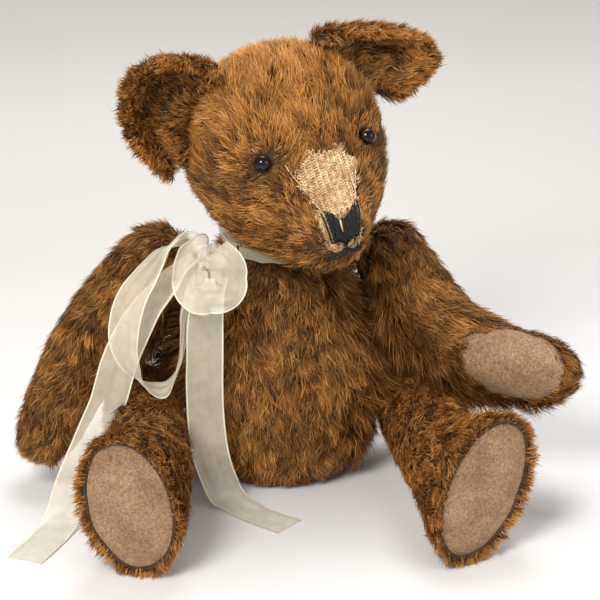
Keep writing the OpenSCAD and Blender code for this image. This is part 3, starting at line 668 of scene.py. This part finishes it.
def collar():
    """The ribbon round the neck, crushed into three lengthwise pleats."""
    a = np.linspace(225, 583, 97)
    profile = curve([[0.4, -11], [2.0, -6], [1.8, -2.5], [-0.6, -5], [-0.2, -1.5], [2.0, 1.5],
                     [1.6, 4.2], [-0.4, 2.6], [-0.6, 5]], 3)
    r0 = 35.8 + 3 * np.cos(np.radians((a - 225) / 2)) ** 6
    crease = 0.9 * waves(np.stack([a * 0.6, a * 0, a * 0], 1), 17, 3)
    g = np.array([[[(r + q[0] * (1 + 0.25 * w)) * cos(t), (r + q[0]) * sin(t), q[1] + w]
                   for q in profile] for t, r, w in zip(a, r0, crease)])
    on_collar = ON_NECK @ shift([0, 0, 2])
    ob = build("ribbon_collar_band", "torso", place(on_collar, g.reshape(-1, 3)),
               [quads(len(g), len(profile))], [RIBBON])
    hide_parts("ribbon_collar")


def knot():
    """The knot: the ribbon wrapped once round itself, pulled tight into creases."""
    a = np.linspace(-176, 176, 61)
    s = np.linspace(-1, 1, 17)
    g = []
    for t in a:
        row = []
        for q in s:
            crease = 0.55 * math.sin(q * 9 + 0.02 * t) + 0.35 * math.sin(q * 17 + 1)
            r = 8.2 - 1.6 * q * q + crease
            row.append([q * 6.6 + 0.8 * sin(2 * t), r * 0.78 * sin(t), r * 0.95 * cos(t)])
        g.append(row)
    m = shift([-47, -54, 172]) @ turn("z", 25) @ turn("y", 24)
    ob = build("ribbon_knot_wrap", "torso", place(m, np.array(g).reshape(-1, 3)),
               [quads(len(a), len(s))], [RIBBON])
    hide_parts("ribbon_knot")


# ---- torso
FUR = 1.0   # share of the strands that are made
LIMB_PILE = 1.5 * FUR               # strands to a square mm on the torso, the limbs and the ears


def torso():
    g = torso_grid(K, 72)

    def look(c, n, d, i, j, rng):
        keep = np.ones(len(c))
        keep[(c[:, 2] > 170)] = 0
        long = np.full(len(c), 11.5)
        lift = np.full(len(c), 21.0)
        for s in (-1, 1):
            for name, r in (("arm", 24), ("leg", 27)):
                near = distance(c, joint[name][0] * np.array([s, 1, 1]))
                keep = np.where(near < 7, 0.0, keep)
                long = np.where(near < r - 8, 7.0, np.where(near < r + 16, 16.0, long))
                lift = np.where(near < r - 8, 4.0, np.where(near < r + 16, 44.0, lift))
        top = fade(c[:, 2], 140, 26)
        long -= 3.5 * top
        under = fade(c[:, 2], 9, -9)
        keep = np.where(c[:, 2] < 0.5, 0, keep)
        lift -= 17 * under
        # the pile stands out where an arm rests against the side, and is darkened there with
        # painted shade
        beside = (fade(np.abs(c[:, 0]), 44, 8) * fade(c[:, 2], 62, 12)
                  * fade(c[:, 2], 150, -10) * fade(c[:, 1], -44, 10))
        long, lift = long + 13 * beside * (long > 9), lift + 28 * beside * (long > 9)
        p = pressed(c)
        lift = lift * (0.35 + 0.65 * p)
        long = long * (0.6 + 0.4 * p)
        # painted shade: the pile is set darker under the head and chin (top, chest), where it meets
        # the floor (under), and darker overall than the legs' pile
        chest = fade(c[:, 2], 90, 45)
        tone = (-0.08 * top - 0.10 * chest - 0.12 * under - 0.2 * beside
                + 0.09 * waves(c, 60, 4) - 0.18)
        bend = d + 0.30 * np.cross(n, d) * waves(c, 85, 9)[:, None]
        return keep, long, lift, tone, bend
    inset = np.full(g.shape[:2], 2.6)
    for s in (-1, 1):
        for limb, r in (("arm", 26), ("leg", 28)):
            near = distance(g, joint[limb][0] * np.array([s, 1, 1]))
            inset = np.minimum(inset, 0.3 + 2.3 * fade(near - r, -8, 8))
    cloth = g - inset[..., None] * normals(g)
    cloth[..., 2] = np.maximum(cloth[..., 2], 0.2)
    body = skin("torso_skin", "torso", cloth, np.eye(4), BACKING)
    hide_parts("torso_skin_left", "torso_skin_right", "torso_stuffing")
    fur("torso_pile", "torso", g, np.eye(4), LIMB_PILE, look, 11)


# ---- head
HEAD_SIDES = 72
PATCH_TOP = -64     # how far back the sheared patch reaches
SLIT = -0.25        # where pale pile shows between two of the nose's stitches, from -1 to 1
EYE_ROW, EYE_ANGLE = [-52, 50.5, 49.5, 46, 46], 43


def off_middle(j):
    """How far round the head a column lies from its middle seam, in degrees."""
    return np.abs(360 * j / HEAD_SIDES - 180)


def head():
    rows = curve(head_rows, K)
    g = head_grid(K, HEAD_SIDES)
    eyes = [head_point(EYE_ROW, a) for a in (EYE_ANGLE, 180 - EYE_ANGLE)]

    def zones(c, i, j):
        """Which points lie on the sheared patch, under the nose or mouth, and round the nose."""
        a = off_middle(j)
        w = np.interp(i, np.arange(len(rows)), rows[:, 5])
        y, x, z = c[:, 1], c[:, 0], c[:, 2]
        top = PATCH_TOP + 3.5 * waves(c, 12, 2) - 0.006 * x * x
        patch = (a < w + 1.0) & (y < top) & (z > 44)
        t = fade(z, 34, 22)
        nose = (np.abs(x) < 9.0 + 2.8 * t) & (z > 36) & (z < 56.5 + 0.2 * np.abs(x)) & (y < -70)
        # and the strip that the mouth's stitches lie in
        nose |= (y < -66) & ((np.abs(x) < 2.2) & (z > 28) & (z < 38)
                             | (np.abs(z - 33 + 0.5 * np.abs(x)) < 2.4) & (np.abs(x) < 13))
        ring = (np.abs(x) < 11.5 + 3 * t) & (z > 33) & (z < 60) & (y < -68)
        return patch, nose, ring

    def look(c, n, d, i, j, rng):
        patch, nose, ring = zones(c, i, j)
        keep = np.where(patch | nose | ring, 0.0, 1.0)
        long = np.full(len(c), 10.5)
        lift = np.full(len(c), 21.0)
        near = np.minimum(*[distance(c, e) for e in eyes])
        keep = np.where(near < 5.8, 0, keep)
        shut = fade(near, 5.8, 12)
        long = long * (0.40 + 0.60 * shut)
        muzzle = fade(c[:, 1], -48, -30)
        long = long * (1 - 0.34 * muzzle)
        low = fade(c[:, 2], 30, -16)
        long, lift = long + 3 * low, lift + 6 * low
        below = np.linalg.norm(c[:, :2], axis=1) < 30
        keep = np.where(below & (c[:, 2] < 20), 0, keep)
        crown = fade(c[:, 2], 70, 40)
        long, lift = long + 2 * crown * shut, lift + 13 * crown * shut
        # painted light: the pile on the crown is set lighter; painted shade: the pile low under the
        # head is set darker
        tone = -0.12 + 0.20 * crown + 0.04 * muzzle + 0.08 * waves(c, 50, 14) - 0.10 * (1 - shut)
        tone -= 0.15 * fade(c[:, 2], 20, -25)
        back = fade(c[:, 1], 5, 45)[:, None]
        bend = between(d, np.array([0, 0.15, -1]), back)
        # the brow's pile parts round each eye and lies up and outward over the forehead
        for e in eyes:
            pull = np.exp(-((c - e) ** 2).sum(1) / 260)[:, None]
            bend = bend + 1.2 * pull * unit(c - e)
        bend = bend + 0.28 * np.cross(n, d) * waves(c, 70, 19)[:, None]
        return keep, long, lift, tone, bend

    def sheared(c, n, d, i, j, rng):
        patch, nose, ring = zones(c, i, j)
        keep = np.where(ring & ~nose, 1.0, np.where(patch & ~nose, 0.45, 0.0))
        tone = np.where(patch, 0.02, -0.08) + 0.12 * waves(c, 26, 8)
        long = np.where(patch, 2.6, 4.2)
        lift = np.where(patch, 16.0, 28.0)
        flick = np.where(rng.random(len(c)) < 0.5, -0.75, 0.75)[:, None]
        return keep, long, lift, tone, d * np.where(ring, -1, 1)[:, None] + flick * np.cross(n, d)

    whole = skin("head_skin", "head", moved(g, -2.6), ON_HEAD, BACKING)
    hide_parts("head_side_left", "head_side_right", "head_stuffing")
    fur("head_pile", "head", g, ON_HEAD, 1.75 * FUR, look, 21)
    fur("muzzle_tufts", "head", g, ON_HEAD, 2.4, sheared, 23, tufts=3, depth=1.2, mat=CREAM,
        wide=(0.5, 0.95), jitter=0.6)
    muzzle_cloth(g, rows)
    return g


def muzzle_cloth(g, rows):
    """The sheared patch's backing, cut from the gusset, with its coarse stitches."""
    c0 = [k for k in range(HEAD_SIDES + 1) if off_middle(k) <= 34]
    r1 = int(np.argmin(np.abs(rows[:, 0] - PATCH_TOP))) + 1
    p = moved(g, -1.7)[2:r1 + 3, c0[0]:c0[-1] + 1]
    patch = skin("head_gusset_patch", "head", p, ON_HEAD, WEAVE, thick=0.6, wrap=False)
    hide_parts("head_gusset")
    # short V stitches in columns, raised on the backing
    stitches = []
    column, pitch = 2.0, 1.7
    length = run_length(g[:, HEAD_SIDES // 2])
    first = float(np.interp(2, np.arange(len(length)), length))
    last = float(length[r1 + 2])

    def on_head(along, x):
        """The patch's surface at a length along the middle and x across it, and its outward way."""
        i = float(np.interp(along, length, np.arange(len(length))))
        i0 = min(int(i), len(g) - 2)
        f = i - i0
        r = between(rows[i0], rows[i0 + 1], f)
        half = max(r[2], 1.0)
        if abs(x) > half * sin(min(r[5], 80)):
            return None
        a = 90 - math.degrees(math.asin(max(-1, min(1, x / half))))
        q = head_point(r, a)
        z = unit(np.array([q[0], -12.0, (q[2] - r[1])]))
        return q, z
    for k, x in enumerate(np.arange(-40, 40, column)):
        tilt = (-1 if k % 2 else 1) * 0.62 * column
        for y in np.arange(first, last, pitch):
            a, b = on_head(y - 0.9 * pitch, x - tilt), on_head(y + 0.9 * pitch, x + tilt)
            if a is None or b is None:
                continue
            mid = (a[0] + b[0]) / 2
            above = mid[1] > PATCH_TOP + 2 - 0.006 * x * x
            if above or mid[2] < 44 or (abs(x) < 12 and mid[2] < 57):
                continue
            t = np.linspace(0, 1, 5)[:, None]
            stitches.append(between(a[0], b[0], t)
                            + a[1] * (-1.5 + 1.5 * np.sin(np.pi * t) ** 0.7))
    threads("muzzle_stitches", stitches, CREAM_THREAD, radius=0.52)
    lip = moved(g, -1.9)[2:int(np.argmin(np.abs(rows[:, 0] + 72))) + 1]
    skin("muzzle_backing", "head", lip, ON_HEAD, BACKING)


def surface(g):
    """A tree for casting rays onto a grid."""
    return BVHTree.FromPolygons([Vector(p) for p in g.reshape(-1, 3)],
                                [tuple(map(int, f)) for f in quads(len(g), g.shape[1])])


def face(g):
    """Eyes, nose and mouth, laid on the head's own surface."""
    tree = surface(g)

    def on_face(x, z, lift):
        hit, nrm, _, _ = tree.ray_cast(Vector((x + 0.013, -140, z + 0.007)), Vector((0, 1, 0)))
        nrm = nrm if nrm.y < 0 else -nrm
        return np.array(hit + nrm * lift)

    rng = np.random.default_rng(5)
    stitches = []
    for k in range(29):
        s = -1 + 2 * k / 28
        out = 1.05 if abs(s) > 0.8 else 1.0
        top = 52.0 + 5.5 * abs(s) + rng.uniform(-0.8, 1.0)
        low = 37.5 + 2.5 * abs(s) + rng.uniform(-0.8, 0.4)
        if abs(s - SLIT) < 0.09:
            top = (top + low) / 2
        pts = []
        for t in np.linspace(0, 1, 9):
            x = s * between(10.0, 7.2, t) * out + 0.25 * rng.normal() * (t > 0)
            rise = 1.9 * math.sin(math.pi * min(max(t * 1.06 - 0.03, 0), 1)) ** 0.5 - 0.2
            pts.append(on_face(x, between(top, low, t), rise))
        stitches.append(pts)
    # two long stitches stand apart, outside the block
    for s in (-1, 1):
        top = 59.0 if s > 0 else 57.0
        pts = [on_face(s * between(12.6, 8.8, t), between(top, 38.5, t),
                       1.6 * math.sin(math.pi * t) ** 0.5) for t in np.linspace(0, 1, 9)]
        stitches.append(pts)
    # a flat layer below closes the block, except in the slit
    for s in np.linspace(-1, 1, 18):
        if abs(s - SLIT) > 0.1:
            top, low = 52.5 + 2.5 * abs(s), 38.5 + 2 * abs(s)
            stitches.append([on_face(s * between(8.8, 6.8, t), between(top, low, t), -0.15)
                             for t in np.linspace(0, 1, 7)])
    slit = [on_face(SLIT * between(9.6, 8.6, t), between(52.5, 45.5, t), 1.3)
            for t in np.linspace(0, 1, 6)]
    threads("nose_slit_pile", [slit], CREAM_THREAD, radius=0.6)
    nose = threads("nose_threads", stitches, THREAD, radius=0.52)
    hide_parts("nose_stitching")
    strokes = []
    for a, b in (((0, 37.5), (0.3, 32.5)), ((0.3, 33), (-11, 26.2)), ((0.3, 32.8), (11.5, 29))):
        for side in (-0.45, 0.45):
            pts = []
            for t in np.linspace(0, 1, 9):
                x, z = between(a[0], b[0], t), between(a[1], b[1], t)
                w = side * cos(540 * t)
                rise = 2.1 * math.sin(math.pi * min(max(t, 0.04), 0.96)) ** 0.4
                pts.append(on_face(x + w * 0.5, z + w, rise + 0.25 * sin(540 * t) * np.sign(side)))
            strokes.append(pts)
    mouth = threads("mouth_threads", strokes, THREAD, radius=0.9)
    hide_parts("mouth_stitching")
    # the seams of the gusset, pale where the muzzle is sheared
    rows = curve(head_rows, K)
    for s, name in ((1, "left"), (-1, "right")):
        line = []
        for i, r in enumerate(rows):
            if -86 < r[0] < (-59 if s < 0 else PATCH_TOP + 2):
                line.append(head_point(r, 90 - s * r[5]))
        line = np.array(line)
        nrm = unit(line * np.array([1, 0, 1]) - np.array([0, 0, 42]) * np.array([1, 0, 1]))
        path = line + nrm * (-0.9 + 0.35 * np.sin(np.arange(len(line)) * 2.2))[:, None]
        threads(f"gusset_seam_{name}", [curve(path, 4)], CREAM_THREAD, radius=0.42)
    for s, name in ((1, "left"), (-1, "right")):
        eye(name, s)


def eye(name, s):
    """A glass eye: a black pupil and a dark red-brown iris under a clear dome, on its wire."""
    at = head_point(EYE_ROW, EYE_ANGLE) * np.array([s, 1, 1])
    gaze = unit(np.array([0.42 * s, -1, 0.14]))
    u = unit(np.cross(gaze, [0, 0, 1]))
    w = np.cross(u, gaze)
    r, n, m = 5.5, 40, 48
    t = np.linspace(0, math.pi, n + 1)
    rad = np.where(t < 1.0, r * (1 + 0.035 * np.cos(t * math.pi / 2)), r)
    a = np.linspace(0, 2 * math.pi, m + 1)
    g = np.array([[at + gaze * rr * math.cos(q)
                   + rr * math.sin(q) * (u * math.cos(b) + w * math.sin(b))
                   for b in a] for q, rr in zip(t, rad)])
    q = quads(n + 1, m + 1)
    row = np.arange(len(q)) // m
    which = np.where((row > 15) & (row < 20), 1, 0)
    ob = build(f"eye_{name}_glass", "head", place(ON_HEAD, g.reshape(-1, 3)),
               [q], [PUPIL, IRIS], which=which)
    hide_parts(f"eye_{name}")


# ---- ears
def ear(name, mid, way, reach, mirrored, seed):
    g = ear_grid(mid, way, reach, 19, 37)
    root = [g[0] - q * unit(g[0] * np.array([1, 0, 1]) - np.array([0, 0, 60])) for q in (7.5, 3.5)]
    g = np.concatenate([np.array(root), g])
    m = ON_HEAD @ MIRROR if mirrored else ON_HEAD
    for part, s in (("front", 1), ("back", -1)):
        p = skin(f"ear_{name}_{part}_cloth", "head", moved(g, s * 1.3, False), m, BACKING,
                 flip=s < 0, thick=0.9 * s, wrap=False)
        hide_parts(f"ear_{name}_{part}")

    def look(c, n, d, i, j, rng, front=True):
        v, u = (i - 2) / 18, j / 18 - 1
        rim = fade(np.maximum(v, np.abs(u) * 0.9), 0.72, 0.28)
        long = np.where(front, 8.0, 9.5) - 2.0 * rim
        lift = 27.0 * np.ones(len(c)) + 18 * rim
        # painted shade: the pile in the ear's hollow is set darker
        hollow = np.exp(-((v - 0.42) ** 2 / 0.09 + u ** 2 / 0.30))
        low = fade(-u, 0, 1)
        tone = -0.20 * hollow + 0.12 * rim + 0.08 * low if front else -0.04 + 0.08 * rim
        tone = tone - 0.10 + 0.07 * waves(c, 24, seed)
        fanned = d + 0.35 * np.cross(n, d) * (np.sign(u) * np.abs(u) ** 2)[:, None]
        return np.ones(len(c)), long, lift, tone, fanned
    top = moved(g, 2.6, False)
    low = moved(g, -2.6, False)
    fur(f"ear_{name}_inside", "head", top, m, LIMB_PILE, look, seed, wrap=False, depth=1.4)
    fur(f"ear_{name}_outside", "head", low, m, LIMB_PILE, lambda *a: look(*a, front=False),
        seed + 1, wrap=False, flip=True, depth=1.4)
    # pile over the rim, from the hollow round to the back
    out = unit(g[-1] - g[-4])
    nrm = normals(g, False)[-1]
    rim = np.array([g[-1] - 1.2 * out + 2.8 * (nrm * cos(t) + out * sin(t))
                    for t in np.linspace(-10, 190, 9)])

    def edge(c, n, d, i, j, rng):
        go = np.array([out[k] for k in np.clip(np.round(j).astype(int), 0, len(out) - 1)])
        return (np.ones(len(c)), np.full(len(c), 6.5), np.full(len(c), 28.0),
                0.04 + 0.09 * waves(c, 20, seed), go + 0.3 * d * rng.normal(size=(len(c), 1)))
    turned = np.sum(normals(rim, False)[4] * out) < 0
    fur(f"ear_{name}_rim", "head", rim, m, 2.2 * FUR, edge, seed + 2, wrap=False,
        flip=bool(turned), depth=1.6)


# ---- limbs
def paw_frame(line, deg):
    r = line[PAD_I * K // 2]
    side, back = ways(r)
    s = side * cos(deg) + back * sin(deg)
    b = back * cos(deg) - side * sin(deg)
    d = np.cross(s, b)
    return ring_middle(r), d, b, -s


def limb_inset(g):
    """How far a limb's cloth lies under its pile's tips: little where it turns on the torso."""
    near = np.hypot(g[..., 1], g[..., 2]) + np.maximum(g[..., 0] - 6, 0) * 3
    return (0.3 + 2.3 * fade(near, 20, 10))[..., None] * normals(g)


def arm(name, seed):
    line, m, deg = LIMBS[name]
    g = limb_grid(line, 48)
    o, ex, ey, ez = paw_frame(line, deg)
    side = name.split("_")[1]

    def oval(c):
        """Place on the pad: 0 at its middle, 1 at its edge; points on the far side are far off."""
        x, y, z = (c - o) @ ex - 6, (c - o) @ ey, (c - o) @ ez
        r = np.sqrt((x / 34) ** 2 + (y / 23) ** 2)
        return np.where(z > -2, r, 9)

    def look(c, n, d, i, j, rng):
        r = oval(c)
        keep = np.where(r < 1.0, 0.0, 1.0)
        axis = np.hypot(c[:, 1], c[:, 2])
        keep = np.where((c[:, 0] < 9) & (axis < 7), 0, keep)
        long = np.where((c[:, 0] < 9) & (axis < 16), 7.0, np.where(c[:, 0] < 7, 13.0, 11.5))
        x = (c - o) @ ex - 6
        edge = fade(r, 1, 0.30)
        facing = x * ((d @ ex) > 0) < 0
        long = np.where(facing, long * (0.30 + 0.70 * edge), long * (0.6 + 0.4 * edge))
        lift = np.where((c[:, 0] < 7) & (axis > 16), 40.0, 21.0 - 4 * (1 - edge))
        tip = fade(i / (len(line) - 1), 0.86, 0.14)
        # the pile stands out on the side that rests against the torso, and is darkened there with
        # painted shade
        beside = fade(-n[:, 0], 0.25, 0.4) * fade(axis, 22, 8) * (1 - tip) * edge
        long, lift = long + 10 * beside, lift + 26 * beside
        # painted shade: the arm's pile is also set darker overall than the legs' pile
        tone = -0.17 + 0.09 * waves(c, 55, seed) + 0.12 * tip - 0.15 * beside
        bend = d + 0.25 * np.cross(n, d) * waves(c, 60, seed + 7)[:, None]
        away = unit(c - (o + ((c - o) @ ez)[:, None] * ez + 6 * ex))
        bend = bend + (1 - edge)[:, None] * away * np.where(r < 1.35, 0.8, 0)[:, None]
        return keep, long * (1 - 0.25 * tip), lift + 6 * tip, tone, bend
    body = skin(f"{name}_cloth", name, g - limb_inset(g), m, BACKING)
    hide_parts(f"{name}_skin", f"{name}_stuffing")
    fur(f"{name}_pile", name, g, m, LIMB_PILE, look, seed)
    # the suede pad, set into the paw
    tree = surface(moved(g, -1.6))
    rings, spokes = 26, 72
    p = []
    for a in range(rings + 1):
        q = a / rings
        row = []
        for b in range(spokes + 1):
            x, y = 34.5 * q * cos(360 * b / spokes), 23.5 * q * sin(360 * b / spokes)
            start = o + ex * (6 + x) + ey * y + ez * 60
            hit, nrm, _, _ = tree.ray_cast(Vector(start), Vector(-ez))
            if hit is None:
                hit = Vector(row[-1] if row else start - ez * 45)
            row.append(np.array(hit) + ez * (0.9 * (1 - q ** 6) - 0.8 * q ** 10))
        p.append(row)
    p = np.array(p)
    p += ez * (0.35 * waves(p.reshape(-1, 3), 18, 6).reshape(p.shape[:2]))[..., None]
    pad = skin(f"paw_pad_{side}_suede", name, p[:, ::-1], m, SUEDE)
    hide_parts(f"paw_pad_{side}")


def leg(name, seed):
    line, m, _ = LIMBS[name]
    g = limb_grid(line, 56)
    side = name.split("_")[1]
    r = line[-1]
    s, b = ways(r)
    d = np.cross(s, b)
    o = ring_middle(r)

    def look(c, n, w, i, j, rng):
        keep = np.ones(len(c))
        axis = np.hypot(c[:, 1], c[:, 2])
        keep = np.where((c[:, 0] < 9) & (axis < 7), 0, keep)
        long = np.where((c[:, 0] < 9) & (axis < 32), 7.0, 11.0)
        rim = fade(i / (len(line) - 1), 0.80, 0.20)
        long = long * (1 - 0.36 * rim)
        lift = 20.0 + 18 * rim
        tone = -0.03 + 0.09 * waves(c, 55, seed) + 0.08 * rim
        bend = w + 0.25 * np.cross(n, w) * waves(c, 60, seed + 7)[:, None]
        return keep, long, lift, tone, bend
    # the cloth turns in over the sole's edge, where the pad is sewn to it
    inner = g - limb_inset(g)
    turned = []
    for q, back in ((2.9, -0.6), (4.2, -0.5), (6.0, 0.6), (9.0, 3.0)):
        turned.append([o + s * (r[5] - q) * cos(a) + b * (r[6] - q) * sin(a) + d * back
                       for a in 90 + 360 * np.arange(57) / 56])
    cloth = np.concatenate([inner, np.array(turned)])
    body = skin(f"{name}_cloth", name, cloth, m, BACKING)
    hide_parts(f"{name}_skin", f"{name}_lower_skin", f"{name}_stuffing")
    fur(f"{name}_pile", name, g, m, LIMB_PILE, look, seed)
    # a short fringe stands up round the sole
    k = np.linspace(0, 1, 4)[:, None, None]
    a = 90 + 360 * np.arange(57) / 56
    outer = np.array([o + s * (r[5] - 0.4) * cos(t) + b * (r[6] - 0.4) * sin(t) for t in a])
    inside = np.array([o + s * (r[5] - 4.0) * cos(t) + b * (r[6] - 4.0) * sin(t) for t in a])
    strip = between(outer[None], inside[None], k)

    def fringe(c, n, w, i, j, rng):
        each = np.ones(len(c))
        return each, 6.0 * each, 50.0 * each, 0.06 + 0.1 * waves(c, 20, seed), unit(c - o)
    fur(f"{name}_fringe", name, strip, m, 1.9 * FUR, fringe, seed + 3, wrap=False, depth=1.5)
    # the suede sole: an oval dome, tucked in at its seam
    wide, deep = r[5] - 3.4, r[6] - 3.4
    p = []
    for q in np.linspace(0, 1, 27):
        rise = 2.3 * (1 - q ** 2.4) - 1.4 * q ** 14
        p.append([o + s * wide * q * cos(t) + b * deep * q * sin(t) - d * rise
                  for t in 360 * np.arange(73) / 72])
    p = np.array(p)
    p -= d * (0.45 * waves(p.reshape(-1, 3), 30, 6).reshape(p.shape[:2]))[..., None]
    pad = skin(f"foot_pad_{side}_suede", name, p, m, SUEDE)
    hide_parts(f"foot_pad_{side}")


# ---- the bear
torso()
face(head())
ear("left", 42, -2, 60, False, 41)
ear("right", 27, 38, 52, True, 51)
arm("arm_left", 61)
arm("arm_right", 71)
leg("leg_left", 81)
leg("leg_right", 91)
ribbons()
collar()
knot()
for name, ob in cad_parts.items():
    kind = STEEL if any(w in name for w in ("washer", "pin", "shank")) else BOARD
    if not ob.get("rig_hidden") and not ob.hide_render:
        for k in range(max(len(ob.data.materials), 1)):
            if len(ob.data.materials) > k:
                ob.data.materials[k] = kind
            else:
                ob.data.materials.append(kind)


# ---- stage, light and camera
def stage():
    """A floor that curves up into a wall, 2.5 m behind the bear."""
    bend = np.linspace(0.1, math.pi / 2, 14)
    y = np.concatenate([np.linspace(-2.2, 2.0, 12), 2.0 + 0.5 * np.sin(bend), [2.5]])
    z = np.concatenate([np.zeros(12), 0.5 - 0.5 * np.cos(bend), [2.6]])
    v = [(x, a, b) for a, b in zip(y, z) for x in (-3, 3)]
    me = bpy.data.meshes.new("stage_floor")
    me.from_pydata(v, [], [(2 * k, 2 * k + 1, 2 * k + 3, 2 * k + 2) for k in range(len(y) - 1)])
    for p in me.polygons:
        p.use_smooth = True
    ob = add("stage_floor", me)
    m, nt, bsdf = material("pale_floor")
    x = nt.nodes.new("ShaderNodeSeparateXYZ")
    nt.links.new(nt.nodes.new("ShaderNodeTexCoord").outputs["Object"], x.inputs[0])
    tones = [(0.1, (0.80, 0.795, 0.79)), (0.45, (0.73, 0.715, 0.69)), (1.0, (0.88, 0.865, 0.84))]
    nt.links.new(ramp(nt, x.outputs["Y"], tones), bsdf.inputs["Base Color"])
    tune(bsdf, Roughness=0.7)
    me.materials.append(m)


def lamp(name, at, aim, size, power, colour=(1, 1, 1)):
    data = bpy.data.lights.new(name, "AREA")
    data.shape, data.size, data.energy, data.color = "DISK", size, power, colour
    ob = add(name, data)
    ob.location = at
    ob.rotation_euler = (Vector(aim) - Vector(at)).to_track_quat("-Z", "Y").to_euler()


stage()
middle = (0, -0.03, 0.14)
lamp("key", (-0.65, -1.15, 1.15), middle, 0.6, 24, (1.0, 0.97, 0.93))
lamp("fill", (1.1, -0.9, 0.7), middle, 0.9, 5, (1.0, 0.98, 0.96))
lamp("top", (0.1, 0.35, 1.3), middle, 0.8, 8)
world = bpy.data.worlds.new("studio")
bpy.context.scene.world = world
world.use_nodes = True
tune(world.node_tree.nodes["Background"], Color=(1.0, 0.99, 0.97, 1), Strength=0.50)

YAW, ELEVATION, DISTANCE = 7, 20, 1300     # of the camera, in degrees and mm
right = np.array([cos(YAW), -sin(YAW), 0])
target = np.array([0, -40, 135]) + 9.07 * right
place_at = target + DISTANCE * np.array([-cos(ELEVATION) * sin(YAW), -cos(ELEVATION) * cos(YAW),
                                         sin(ELEVATION)])
cam = bpy.data.cameras.new("camera")
cam.lens, cam.sensor_width = 120.4, 36
cam_ob = add("camera", cam)
cam_ob.location = place_at * MM
cam_ob.rotation_euler = Vector((target - place_at) * MM).to_track_quat("-Z", "Y").to_euler()
bpy.context.scene.camera = cam_ob
bpy.context.scene.view_settings.view_transform = "Standard"
